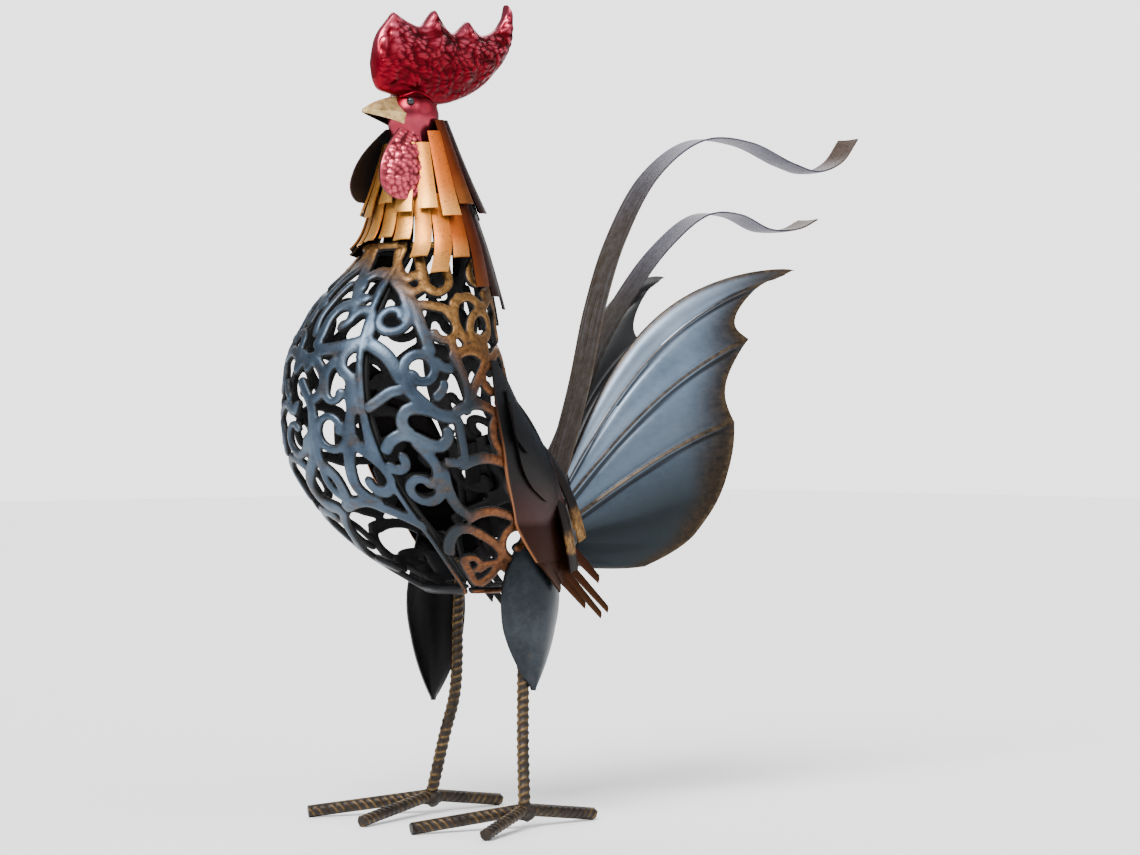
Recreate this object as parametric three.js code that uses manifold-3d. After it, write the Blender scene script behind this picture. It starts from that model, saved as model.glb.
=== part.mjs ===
// A standing rooster of pressed and cut sheet iron, welded up and painted: a puffed red comb
// and head, cut hackle strips, an openwork scroll body, layered plate wings, two fan tail
// plates with two long curled ribbons, leaf shaped thighs and feet of ribbed rod.
// Millimetres, +Z up. The bird faces -X and its left side is -Y.
// It is drawn about a point on the ground midway between its ankles, and at the end the whole
// bird is shifted so that the origin is under the middle of its box.
import * as THREE from "three";
import { mergeVertices } from "three/addons/utils/BufferGeometryUtils.js";
import Module from "manifold-3d";

const wasm = await Module();
wasm.setup();
const { Manifold, Mesh: SolidMesh } = wasm;
const { degToRad, radToDeg, lerp, clamp } = THREE.MathUtils;

// Sizes that the pieces share
const WELD_GAP = 0.3;
const SEAT_GAP = 0.55;
const SHEET = 1;
const SMOOTHING = 0.5;
const TIDYING = 0.1;
const FORM_SIDES = 72;
const FORM_ROWS = 40;
const SIDES = [["left", -1], ["right", 1]];

// Body and neck: level sections, with the centre of each on the bird's middle plane, the
// radius to the front and sides, and the longer reach to the rump
const SECTIONS = [
  { z: 126, centre: -9, radius: 18, rear: 32 },
  { z: 153, centre: -33, radius: 41, rear: 80 },
  { z: 180, centre: -48, radius: 55, rear: 99 },
  { z: 207, centre: -57, radius: 62, rear: 92 },
  { z: 235, centre: -60, radius: 61.5, rear: 69 },
  { z: 262, centre: -60, radius: 57.5, rear: 57.5 },
  { z: 289, centre: -53, radius: 48, rear: 48 },
  { z: 316, centre: -41, radius: 33.5, rear: 33.5 },
  { z: 341, centre: -41, radius: 26, rear: 26 },
  { z: 376, centre: -43, radius: 16, rear: 16 },
  { z: 389, centre: -44.5, radius: 12.5, rear: 12.5 },
];

// The scrollwork is drawn on a flat sheet that faces this far round from the bird's left side
// to its front, and is then pressed onto the body
const DRAWING_TURN = 42;
const DRAWING_AXIS = -60;
const DRAWING_EDGE = 0.985;
const FLAT_RADIUS = 60;
const SHELL_WALL = 2.6;
const SHELL_BOTTOM = 127;
const SHELL_TOP = 321;
const BAND_HEIGHT = 5;
const EDGE_STRIP = 4.5;
const STRAND_WIDTH = 6.6;
const CURL_TAPER = 0.82;
const STRAND_STEP = 12;
const CURL_STEP = 52;
const SEAM_STEP = 14;
const SEAM_GAP = 0.7;
// The weld seam between the two pressings, as an angle round the body at each height
const SEAM = [
  { z: 120, angle: 11 },
  { z: 153, angle: 9 },
  { z: 180, angle: 0 },
  { z: 207, angle: -6 },
  { z: 235, angle: -11.5 },
  { z: 289, angle: -12.5 },
  { z: 325, angle: -10 },
];

// Scrolls to the viewer's right of the seam. A stem is a run of points across and up; a curl
// winds from its first angle through its sweep about a centre, closing from r to end.
const RIGHT_SCROLLS = [
  { stem: [[1, 301], [7, 292], [10.5, 282]], curl: { c: [2, 278], r: 9, end: 3.5, from: 10, sweep: -400 } },
  { stem: [[10.5, 290], [15, 280], [19, 269], [24, 257]] },
  { stem: [[21, 231], [13, 238]], curl: { c: [17.5, 250], r: 10, end: 3.5, from: 205, sweep: -400 } },
  { stem: [[8.5, 242.5], [18.5, 233], [27, 227], [37, 225]], width: 7 },
  { stem: [[-13, 228.5], [-5, 234], [1.5, 238.5], [9, 240]], width: 6 },
  { stem: [[33, 224], [24, 228.5], [16, 230], [10, 229], [7.5, 224], [10, 218], [15, 216]] },
  { stem: [[-2, 205], [1.5, 212.5], [8, 216], [14.5, 214.5], [22, 211], [28, 210], [32, 214.5], [31, 221]] },
  {
    stem: [[13, 214], [20, 207], [26, 198]],
    curl: { c: [18.5, 187.5], r: 9.5, end: 3.5, from: 25, sweep: -400 },
  },
  { stem: [[-4, 199], [-1, 197]], curl: { c: [5, 202], r: 5.5, end: 3, from: 215, sweep: 230 } },
  { stem: [[37, 226], [39.5, 211], [41, 199]], width: 5.5 },
  { stem: [[29, 199], [31.5, 187], [36.5, 177], [44, 171]] },
  { stem: [[29, 202], [35, 201], [41, 202]], width: 5 },
  { stem: [[31, 150], [31, 157], [35, 164], [42, 165], [49, 160], [53, 150], [51, 139], [45, 132]] },
  { stem: [[45, 132], [42, 138]], curl: { c: [43.5, 146], r: 5.5, end: 3, from: 195, sweep: -250 } },
  {
    stem: [[14, 286], [22, 285], [30, 283]],
    curl: { c: [29.5, 273], r: 8, end: 6, from: 60, sweep: -240 }, width: 6,
  },
  { stem: [[37, 293], [34.5, 284], [36, 274], [42.5, 265]], width: 6 },
  { stem: [[3, 318], [3, 308], [7, 301], [11.5, 300], [12.5, 305]], width: 5.5 },
  { stem: [[1, 303], [7, 295.5], [13, 292.5], [18, 297], [16, 306], [12, 318]], width: 6 },
  { stem: [[16, 300], [20, 295], [26, 292.5], [31, 297], [29, 306], [26, 318]], width: 6 },
  { stem: [[24, 257], [29, 252], [35.5, 251]], width: 5.5 },
  { stem: [[33, 268], [36, 257], [40, 247], [42, 237], [41.5, 226]], width: 5.5 },
  { stem: [[42.5, 266], [47, 268], [51, 264], [50, 254], [46, 243], [42, 232]], width: 5.5 },
  { stem: [[24, 234], [29.5, 241], [29.5, 246]], width: 5.5 },
];

// Scrolls to the viewer's left of the seam
const LEFT_SCROLLS = [
  {
    stem: [[0, 302], [-8, 303.5], [-15, 299]],
    curl: { c: [-13, 292.5], r: 6, end: 4, from: 140, sweep: 200 },
  },
  {
    stem: [[-41, 261.5], [-37, 269], [-33, 278]],
    curl: { c: [-25.5, 279.5], r: 7.5, end: 6, from: 150, sweep: -250 },
  },
  { stem: [[-12, 266], [-9.5, 273]], curl: { c: [-15, 278], r: 5.8, end: 5, from: -10, sweep: 200 } },
  { stem: [[-12, 266], [-21, 264], [-31, 262], [-41, 261]], width: 7 },
  { stem: [[-12, 266], [0, 257], [9, 242]], width: 7.5 },
  { stem: [[-16, 265], [-24, 258.5], [-25, 251.5], [-20.5, 246], [-19.5, 239], [-18, 232.5], [-12, 228]] },
  { stem: [[-53, 249], [-47, 256], [-40, 255.5], [-35.5, 249], [-35, 242], [-38.5, 236.5], [-43, 234]] },
  {
    stem: [[-49, 247], [-46, 240], [-42, 231], [-41, 221], [-39.5, 210],
      [-37, 201], [-29, 193], [-22.5, 181]],
  },
  { stem: [[-53, 252], [-46, 258]], curl: { c: [-51, 266], r: 7, end: 5, from: -50, sweep: 240 }, width: 6 },
  {
    stem: [[-57, 247], [-57, 240]],
    curl: { c: [-53, 233.5], r: 6, end: 4, from: 150, sweep: 230 }, width: 6,
  },
  { stem: [[-41, 224], [-42.5, 216]], curl: { c: [-51.5, 215.5], r: 11, end: 4, from: -10, sweep: -330 } },
  { stem: [[-21, 240], [-19.5, 230]], curl: { c: [-31, 218.5], r: 11, end: 4.5, from: 0, sweep: -400 } },
  {
    stem: [[-26, 258], [-33, 250], [-34, 243]],
    curl: { c: [-29.5, 238.5], r: 5, end: 3.5, from: 180, sweep: 220 }, width: 6,
  },
  { stem: [[-39.5, 206], [-43, 198], [-44, 188], [-39, 180.5], [-31, 176.5], [-25, 174]], width: 7.5 },
  { stem: [[-37, 201], [-34, 191], [-29, 184.5], [-22.5, 181]], width: 5 },
  { stem: [[-20, 212], [-20.5, 197.5], [-17.5, 188], [-10.5, 181.5], [-1.5, 177.5]], width: 7.5 },
  {
    stem: [[-19.5, 217], [-15.5, 209.5], [-9, 204.5], [-2.5, 198.5],
      [1.5, 191], [-1.5, 185.5], [-8, 187.5], [-12, 194]],
  },
  { stem: [[-26, 176], [-18.5, 179.5], [-12, 180], [-4, 177], [8, 172], [20, 165.5]], width: 6 },
  { stem: [[-26, 176], [-26, 168], [-22, 159], [-14.5, 147.5], [-4, 138], [8, 132], [24, 129]], width: 5 },
  { stem: [[-12, 312], [-26.5, 301], [-35, 291.5], [-42, 282], [-46, 274]], width: 6 },
  { stem: [[-20, 300], [-30, 290], [-38, 279], [-41, 268]], width: 4.5 },
  { stem: [[-17.5, 287], [-16.5, 300], [-11, 318]], width: 6.5 },
  { stem: [[-25, 304], [-17, 312], [-14, 320]], width: 7 },
  { stem: [[-7, 289], [-3, 300]], width: 5 },
  { stem: [[-41, 261], [-43.5, 254], [-46, 249]], width: 6 },
  { stem: [[-20, 224], [-20, 210]], width: 7 },
  { stem: [[-42, 216], [-41, 204]], width: 6 },
  { stem: [[-9, 204], [-11, 216], [-13, 228]], width: 5 },
];

// Level waves with curls between them fill the flank between the two drawn fields
const FLANK_WAVES = { from: 33, to: 126, first: 143, pitch: 29, count: 6, rise: 2.5, points: 7, width: 6 };
const FLANK_CURLS = { angles: [62, 95], r: 12.5, end: 3.5, sweep: 390, steps: 6, width: 6 };

// Head, beak, eyes and comb
const HEAD = { x: -47.5, z: 391, length: 15, width: 13.5, height: 14.5, wall: 1.5, open: -48, sides: 16 };
const BEAK = { tip: [-84, 391.5], base: -58, top: 401, bottom: 384, width: 9 };
const EYE = { x: -56.6, y: 9.3, z: 397.4, radius: 2.2 };
const COMB_HALF = 10.5;
const COMB_EDGE = 1.2;
// The bird's outermost points: top of the comb's tip, and the long ribbon's end along and up
const TIP_TOP = 458.5;
const RIBBON_END = 298;
const RIBBON_END_TOP = 400;
// Top and bottom edge of the comb, from its front to the swept tip
const COMB = [
  { top: [-75, 420.5], low: [-74, 409] },
  { top: [-72, 433.5], low: [-71, 403.5] },
  { top: [-61.5, 446.5], low: [-60.5, 401.4] },
  { top: [-51, 442], low: [-50, 399.5] },
  { top: [-42, 441], low: [-42, 398] },
  { top: [-33, 450.5], low: [-33, 398] },
  { top: [-26, 442], low: [-24, 399.5] },
  { top: [-19, 439], low: [-15, 402.5] },
  { top: [-9, 446.5], low: [-7, 406] },
  { top: [-3, 440.5], low: [2, 411.5] },
  { top: [4, 440], low: [10, 419] },
  { top: [12, 444], low: [17, 426.5] },
  { top: [18, TIP_TOP - 6.5], low: [21.5, TIP_TOP - 22.5] },
  { top: [19.5, TIP_TOP], low: [23, TIP_TOP - 9.5] },
];
const WATTLE = {
  x: -69, y: 13.5, top: 383, drop: 40, width: 26, turn: 15, flare: 5, dish: 5, wall: 1.2, lean: [13, 5.5],
};
const WATTLE_SHAPE = { neck: 0.55, full: 0.55, round: 0.68, shut: 0.88 };

// Hackle collars: cut strips that lie down the neck, each strip a little plate
const STRIP_WIDTH = 10;
const UPPER_COLLAR = { count: 16, top: 387, lift: 2.5, ends: [337, 333, 340, 335], first: 8 };
const LOWER_COLLAR = {
  count: 20, top: 346, lift: 1, first: 3,
  ends: [309, 300, 310, 294, 290, 284, 276, 274, 276, 292, 298, 294, 300, 304, 312, 314, 317, 319, 321, 319],
};
const STRIP_FLARE = 1.6;
const THROAT = { front: -90, back: -55, low: 374, high: 420 };

// Wings: rows down the plate, front edge, rear edge and height
const WING_LIFT = 1;
const PLATE_GAP = 0.85;
const FEATHER_FLARE = 0.12;
const WING_WELD = { x: -1, z: 199.5, radius: 6.5 };
const WING = [
  { front: -38, rear: -34, z: 256 },
  { front: -38.5, rear: -21, z: 246 },
  { front: -38.5, rear: -2, z: 228 },
  { front: -35, rear: 11, z: 210 },
  { front: -30, rear: 22, z: 193 },
  { front: -20.5, rear: 31.5, z: 176 },
  { front: -9, rear: 39, z: 158 },
  { front: 1, rear: 40, z: 146 },
];
const FEATHERS = [
  { root: [4, 150], tip: [25, 131], width: 8 },
  { root: [16, 148], tip: [44, 120.5], width: 5 },
  { root: [22, 148.5], tip: [55.5, 114.5], width: 5 },
  { root: [27, 150], tip: [61, 117.5], width: 5 },
  { root: [33, 156], tip: [56, 134.5], width: 6 },
];
const COVERT = [
  { front: -28, rear: -24, z: 240 },
  { front: -27, rear: -12, z: 228 },
  { front: -25, rear: 0, z: 214 },
  { front: -19, rear: 12, z: 198 },
  { front: -8, rear: 19, z: 187 },
  { front: 8, rear: 22, z: 179 },
];
const TONGUE = [
  { front: -27, rear: -22, z: 234 },
  { front: -28, rear: -12, z: 225 },
  { front: -26, rear: -7.5, z: 214 },
  { front: -17, rear: -11, z: 206 },
];
const SADDLE = [
  { start: [20, 20, 216], end: [46, 36, 157], width: 11 },
  { start: [26, 15, 212], end: [50, 27, 164], width: 11 },
  { start: [16, 26, 212], end: [36, 40, 140], width: 11 },
];
const SADDLE_BEND = { share: 0.45, back: 4, out: 8, up: 6 };

// Tail: two fans in a V and two ribbons between them
const TAIL_ROOT = { x: 57, y: 5, z: 186 };
const TAIL_SPREAD = 20;
const TANG = { reach: 14, splay: 5, below: 12, above: 14 };
const FAN_WALL = 1.4;
const FAN_PUFF = 4;
// Rays of the fan, along and up from the root: where each starts and ends, and how far it bows up
const FAN_RAYS = [
  { start: [1, 0], end: [150, 127], bow: 36 },
  { start: [2, -2], end: [127, 118], bow: 18.5 },
  { start: [3, -9], end: [118.5, 86], bow: 10.5 },
  { start: [6, -20], end: [109, 37.2], bow: 6 },
  { start: [8, -27], end: [103, 2], bow: -2 },
  { start: [8, -32], end: [83, -29], bow: -3 },
  { start: [7, -36], end: [52, -46.5], bow: -3 },
  { start: [3, -38], end: [18, -47], bow: -2 },
];
const FAN_SCALLOP = [-0.02, 0.085, 0.085, -0.02, -0.03, -0.05, -0.08];
const RIBBON_WIDTH = 18.5;
const RIBBON_WALL = 1.5;
const LONG_RIBBON = {
  y: -8,
  path: [[46, 178], [57, 207], [70, 245], [82, 289], [98, 328], [125, 366.5], [162, 389.5], [202, 390.5],
    [238, 380.5], [262, 377], [RIBBON_END - 14, RIBBON_END_TOP - 15], [RIBBON_END, RIBBON_END_TOP]],
};
const SHORT_RIBBON = {
  y: 11,
  path: [[48, 176], [75, 213], [95, 258], [122, 295], [151, 325.5], [185, 347.5], [212, 348.7],
    [239, 341], [265, 343], [281, 349.5]],
};

// Thighs, legs and feet
const THIGH = { top: 161, half: 21, widest: 0.42, dish: 11, tuck: 5.5, wall: 1.4 };
// The two thighs are set at different places along the bird and reach down differently
const THIGH_SIDE = { left: { x: 11, y: 41, tip: 74.5 }, right: { x: -4, y: 43, tip: 65 } };
const ROD_RADIUS = 3.5;
const TOE_RADIUS = 3.3;
const ROD_SIDES = 8;
const LEG = [[-1.5, 40.5, 10.5], [3, 34, 45], [7, 29.5, 70], [8, 28.5, 112], [9, 27, 146]];
const TOES = {
  left: [
    { name: "inner", length: 66, turn: -20 },
    { name: "outer", length: 52, turn: 25 },
    { name: "back", length: 52, turn: 180 },
  ],
  right: [
    { name: "inner", length: 67, turn: -16 },
    { name: "outer", length: 71, turn: 28 },
    { name: "back", length: 52, turn: 180 },
  ],
};
const ANKLE = { x: -1.5, y: 40.5, z: 10.5 };
const SEAM_ROD_RADIUS = 2;

// Turns a three.js geometry, or one placed by a rule, into a joinable solid and back
function solidOf(geometry) {
  const bare = new THREE.BufferGeometry();
  bare.setAttribute("position", geometry.getAttribute("position").clone());
  if (geometry.index) bare.setIndex(geometry.index);
  const merged = mergeVertices(bare, 1e-4);
  const points = merged.getAttribute("position").array;
  const corners = merged.index.array;
  const triangles = facingOut(points, corners);
  const mesh = new SolidMesh({
    numProp: 3,
    vertProperties: new Float32Array(points),
    triVerts: new Uint32Array(triangles),
  });
  return new Manifold(mesh);
}

// Drops triangles that closed up to a line, and turns the rest outwards
function facingOut(points, corners) {
  const at = (i) => new THREE.Vector3(points[3 * i], points[3 * i + 1], points[3 * i + 2]);
  const kept = [];
  let volume = 0;
  for (let i = 0; i < corners.length; i += 3) {
    const [a, b, c] = corners.slice(i, i + 3);
    if (a === b || b === c || c === a) continue;
    kept.push([a, b, c]);
    volume += at(a).dot(at(b).cross(at(c)));
  }
  return kept.flatMap(([a, b, c]) => (volume < 0 ? [a, c, b] : [a, b, c]));
}

function geometryOf(solid) {
  const mesh = solid.getMesh();
  const geometry = new THREE.BufferGeometry();
  geometry.setAttribute("position", new THREE.BufferAttribute(mesh.vertProperties, 3));
  geometry.setIndex(new THREE.BufferAttribute(mesh.triVerts, 1));
  return geometry;
}

// A thin block of across x along cells, each corner placed by a rule of (u, v, w) from 0 to 1
function placed(across, along, place) {
  const geometry = new THREE.BoxGeometry(1, 1, 1, across, along, 1);
  const position = geometry.getAttribute("position");
  const corner = new THREE.Vector3();
  for (let i = 0; i < position.count; i += 1) {
    corner.fromBufferAttribute(position, i).addScalar(0.5);
    const point = place(corner.x, corner.y, corner.z);
    position.setXYZ(i, point.x, point.y, point.z);
  }
  return solidOf(geometry);
}

// A plate of a given wall: its face is a rule of (u, v), and the wall goes inwards from it
function plate(across, along, face, wall) {
  const step = 1e-3;
  const normal = (u, v) => {
    const a = face(u + step, v).sub(face(u - step, v));
    const b = face(u, v + step).sub(face(u, v - step));
    return a.cross(b).normalize();
  };
  return placed(across, along, (u, v, w) => face(u, v).addScaledVector(normal(u, v), (w - 1) * wall));
}

// A round rod swept along a smooth line through its points
function rod(points, radius, sides, steps) {
  const outline = new THREE.Shape(Array.from({ length: sides }, (_, i) => {
    const angle = (2 * Math.PI * i) / sides;
    return new THREE.Vector2(radius * Math.cos(angle), radius * Math.sin(angle));
  }));
  const path = new THREE.CatmullRomCurve3(points, false, "centripetal");
  return solidOf(new THREE.ExtrudeGeometry(outline, { steps, extrudePath: path, bevelEnabled: false }));
}

function ball(centre, radius) {
  const sphere = new THREE.SphereGeometry(radius, 8, 6);
  sphere.translate(centre.x, centre.y, centre.z);
  return solidOf(sphere);
}

// Reads a smooth value at height z from a table with rising z
function smoothAt(table, key, z) {
  const last = table.length - 1;
  let i = table.findIndex((row) => row.z > z) - 1;
  if (i === -2) i = last - 1;
  i = clamp(i, 0, last - 1);
  const slope = (k) => {
    const a = table[Math.max(k - 1, 0)];
    const b = table[Math.min(k + 1, last)];
    return (b[key] - a[key]) / (b.z - a.z);
  };
  const from = table[i];
  const to = table[i + 1];
  const span = to.z - from.z;
  const t = clamp((z - from.z) / span, -0.3, 1.3);
  const rise = to[key] - from[key];
  const start = slope(i) * span;
  const finish = slope(i + 1) * span;
  return from[key] + t * (start + t * (3 * rise - 2 * start - finish + t * (start + finish - 2 * rise)));
}

const seamAt = (z) => smoothAt(SEAM, "angle", z);

// A point on the body's outer face at an angle round it, in degrees, and a height
function bodyFace(angle, z) {
  const turn = degToRad(angle - DRAWING_TURN);
  const centre = smoothAt(SECTIONS, "centre", z);
  const radius = smoothAt(SECTIONS, "radius", z);
  const back = Math.max(Math.sin(turn), 0);
  const reach = lerp(radius, smoothAt(SECTIONS, "rear", z), back > 0 ? 1 : 0);
  return new THREE.Vector3(centre + reach * Math.sin(turn), -radius * Math.cos(turn), z);
}

function bodySlopes(angle, z) {
  const step = 0.2;
  const round = bodyFace(angle + step, z).sub(bodyFace(angle - step, z)).divideScalar(degToRad(2 * step));
  const up = bodyFace(angle, z + step).sub(bodyFace(angle, z - step)).divideScalar(2 * step);
  return { round, up };
}

function bodyPoint(angle, z, out) {
  const { round, up } = bodySlopes(angle, z);
  const normal = round.cross(up).normalize();
  return bodyFace(angle, z).addScaledVector(normal, out);
}

// The whole closed outer form of body and neck, grown by a little
function bodyForm(grow) {
  const low = SECTIONS[0].z - 2;
  const high = SECTIONS[SECTIONS.length - 1].z + 2;
  const drum = new THREE.CylinderGeometry(1, 1, 1, FORM_SIDES, FORM_ROWS);
  const position = drum.getAttribute("position");
  for (let i = 0; i < position.count; i += 1) {
    const x = position.getX(i);
    const y = position.getZ(i);
    const z = lerp(low, high, position.getY(i) + 0.5);
    const share = Math.hypot(x, y);
    const rim = bodyPoint(radToDeg(Math.atan2(y, x)), z, grow);
    const axis = new THREE.Vector3(smoothAt(SECTIONS, "centre", z), 0, rim.z);
    const point = axis.lerp(rim, share);
    position.setXYZ(i, point.x, point.y, point.z);
  }
  return solidOf(drum);
}

// The flat place of a point of the drawing: round the body on a fixed radius, and height
function flatPlace([across, z]) {
  const shift = (smoothAt(SECTIONS, "centre", z) - DRAWING_AXIS) * Math.cos(degToRad(DRAWING_TURN));
  const share = (across - shift) / smoothAt(SECTIONS, "radius", z);
  return new THREE.Vector3(FLAT_RADIUS * Math.asin(clamp(share, -DRAWING_EDGE, DRAWING_EDGE)), z, 0);
}

// How much longer a step round or up is on the body than on the flat sheet
function stretch(place) {
  const { round, up } = bodySlopes(radToDeg(place.x / FLAT_RADIUS), place.y);
  return { round: round.length() / FLAT_RADIUS, up: up.length() };
}

function curlPlaces({ c, r, end, from, sweep }) {
  const centre = flatPlace(c);
  const { round, up } = stretch(centre);
  const count = Math.ceil(Math.abs(sweep) / CURL_STEP);
  return Array.from({ length: count + 1 }, (_, i) => {
    const share = i / count;
    const radius = lerp(r, end, share ** 1.5);
    const angle = degToRad(from + sweep * share);
    const x = centre.x + (radius * Math.cos(angle)) / round;
    return new THREE.Vector3(x, centre.y + (radius * Math.sin(angle)) / up, 0);
  });
}

// The middle line of a scroll on the flat sheet
function scrollLine({ stem, curl }) {
  const controls = [...stem.map(flatPlace), ...(curl ? curlPlaces(curl) : [])];
  const curve = new THREE.CatmullRomCurve3(controls, false, "centripetal");
  const spans = controls.length - 1;
  const line = [];
  for (let i = 0; i < spans; i += 1) {
    const parts = Math.ceil(controls[i].distanceTo(controls[i + 1]) / STRAND_STEP);
    for (let j = 0; j < parts; j += 1) line.push(curve.getPoint((i + j / parts) / spans));
  }
  line.push(curve.getPoint(1));
  return line;
}

// Lays a line as flat cells side by side, as wide on the body as the strand is
function strandCells(line, widthAt, wall) {
  const last = line.length - 1;
  const edges = line.map((place, i) => {
    const before = line[Math.max(i - 1, 0)];
    const after = line[Math.min(i + 1, last)];
    const { round, up } = stretch(place);
    const along = new THREE.Vector2((after.x - before.x) * round, (after.y - before.y) * up).normalize();
    const half = widthAt(i / last) / 2;
    const side = new THREE.Vector3((-along.y * half) / round, (along.x * half) / up, 0);
    return [place.clone().sub(side), place.clone().add(side)];
  });
  return edges.slice(1).map((edge, i) => placed(1, 1, (u, v, w) => {
    const [a, b] = v < 0.5 ? edges[i] : edge;
    const point = (u < 0.5 ? a : b).clone();
    point.z = w * wall;
    return point;
  }));
}

// The cells of a scroll, moved on round the flat sheet by a turn
function scrollCells(scroll, turn) {
  const width = scroll.width ?? STRAND_WIDTH;
  const narrow = scroll.curl ? CURL_TAPER : 1;
  const cells = strandCells(scrollLine(scroll), (share) => width * lerp(1, narrow, share), SHELL_WALL);
  return cells.map((cell) => cell.translate(FLAT_RADIUS * degToRad(turn), 0, 0));
}

// A level band round the half, and a strip up each side of it along the weld
function frameCells() {
  const heights = [];
  const count = Math.round((SHELL_TOP - SHELL_BOTTOM) / SEAM_STEP);
  for (let i = 0; i <= count; i += 1) heights.push(lerp(SHELL_BOTTOM, SHELL_TOP, i / count));
  const edgeLine = (turn) => heights.map((z) => {
    const slopeIn = turn === 0 ? 1 : -1;
    const angle = degToRad(seamAt(z) + turn);
    const place = new THREE.Vector3(FLAT_RADIUS * angle, z, 0);
    place.x += (slopeIn * EDGE_STRIP) / 2 / stretch(place).round;
    return place;
  });
  const level = (z) => Array.from({ length: 19 }, (_, i) => (
    new THREE.Vector3(FLAT_RADIUS * degToRad(seamAt(z) + i * 10), z, 0)
  ));
  const lines = [edgeLine(0), edgeLine(180)];
  const bands = [SHELL_BOTTOM + BAND_HEIGHT / 2, SHELL_TOP - BAND_HEIGHT / 2].map(level);
  return [
    ...lines.flatMap((line) => strandCells(line, () => EDGE_STRIP, SHELL_WALL)),
    ...bands.flatMap((line) => strandCells(line, () => BAND_HEIGHT, SHELL_WALL)),
  ];
}

function flankWave(z) {
  const { from, to, rise, points } = FLANK_WAVES;
  return Array.from({ length: points }, (_, i) => {
    const angle = lerp(from, to, i / (points - 1));
    const x = FLAT_RADIUS * degToRad(angle);
    return new THREE.Vector3(x, z + (i % 2 ? rise : -rise), 0);
  });
}

function flankCurl(angle, z, way) {
  const { r, end, sweep, steps } = FLANK_CURLS;
  const middle = FLAT_RADIUS * degToRad(angle);
  const { round, up } = stretch(new THREE.Vector3(middle, z, 0));
  return Array.from({ length: steps + 1 }, (_, i) => {
    const turn = degToRad((sweep * i) / steps - 90);
    const radius = lerp(r, end, i / steps);
    const x = middle + (way * radius * Math.cos(turn)) / round;
    return new THREE.Vector3(x, z + (radius * Math.sin(turn)) / up, 0);
  });
}

function flankCells() {
  const cells = [];
  for (let i = 0; i < FLANK_WAVES.count; i += 1) {
    const z = FLANK_WAVES.first + i * FLANK_WAVES.pitch;
    cells.push(...strandCells(flankWave(z), () => FLANK_WAVES.width, SHELL_WALL));
    FLANK_CURLS.angles.forEach((angle, k) => {
      const line = flankCurl(angle, z + FLANK_WAVES.pitch / 2, (i + k) % 2 ? 1 : -1);
      cells.push(...strandCells(line, () => FLANK_CURLS.width, SHELL_WALL));
    });
  }
  return cells;
}

// The sheet is trimmed along the weld, so that the two pressings meet with a small gap
function sheetField() {
  const count = Math.round((SHELL_TOP - SHELL_BOTTOM) / SEAM_STEP);
  const bands = [];
  for (let i = 0; i < count; i += 1) {
    bands.push(placed(1, 1, (u, v, w) => {
      const z = lerp(SHELL_BOTTOM, SHELL_TOP, (i + v) / count);
      const place = new THREE.Vector3(FLAT_RADIUS * degToRad(seamAt(z) + 180 * u), z, 0);
      place.x += ((0.5 - u) * SEAM_GAP) / stretch(place).round;
      place.z = lerp(-1, SHELL_WALL + 1, w);
      return place;
    }));
  }
  return Manifold.union(bands);
}

// The largest body of a cut piece
function biggest(solid) {
  const parts = solid.decompose();
  return parts.reduce((best, part) => (part.volume() > best.volume() ? part : best));
}

// Bends a flat sheet by a rule for each of its corners, and drops corners it can spare
function pressed(sheet, rule) {
  const geometry = geometryOf(sheet);
  const position = geometry.getAttribute("position");
  const flat = new THREE.Vector3();
  for (let i = 0; i < position.count; i += 1) {
    const point = rule(flat.fromBufferAttribute(position, i));
    position.setXYZ(i, point.x, point.y, point.z);
  }
  return solidOf(geometry).simplify(SMOOTHING);
}

const flatAngle = (flat) => radToDeg(flat.x / FLAT_RADIUS);

// Half a turn on for the second half
function shellHalf(sheet, turn) {
  return pressed(sheet, (flat) => bodyPoint(flatAngle(flat) + turn, flat.y, flat.z - SHELL_WALL));
}

function shellSheet() {
  const cells = [
    ...RIGHT_SCROLLS.flatMap((scroll) => scrollCells(scroll, 0)),
    ...LEFT_SCROLLS.flatMap((scroll) => scrollCells(scroll, 180)),
    ...flankCells(),
    ...frameCells(),
  ];
  return biggest(Manifold.union(cells).intersect(sheetField()));
}

const headForm = (grow) => {
  const ballForm = new THREE.SphereGeometry(1, HEAD.sides, 12);
  ballForm.rotateX(Math.PI / 2);
  ballForm.scale(HEAD.length + grow, HEAD.width + grow, HEAD.height + grow);
  ballForm.translate(HEAD.x, 0, HEAD.z);
  return solidOf(ballForm);
};

function headShell() {
  const profile = [];
  const steps = 5;
  const inner = 1 - HEAD.wall / HEAD.width;
  for (let i = 0; i <= steps; i += 1) {
    const angle = degToRad(lerp(90, HEAD.open, i / steps));
    profile.push(new THREE.Vector2(Math.abs(Math.cos(angle)), Math.sin(angle)));
  }
  const lining = profile.map((point) => point.clone().multiplyScalar(inner)).reverse();
  profile[0].x = 0;
  lining[steps].x = 0;
  const dome = new THREE.LatheGeometry([...profile, ...lining], HEAD.sides);
  dome.rotateX(Math.PI / 2);
  dome.scale(HEAD.length, HEAD.width, HEAD.height);
  dome.translate(HEAD.x, 0, HEAD.z);
  return solidOf(dome);
}

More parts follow.
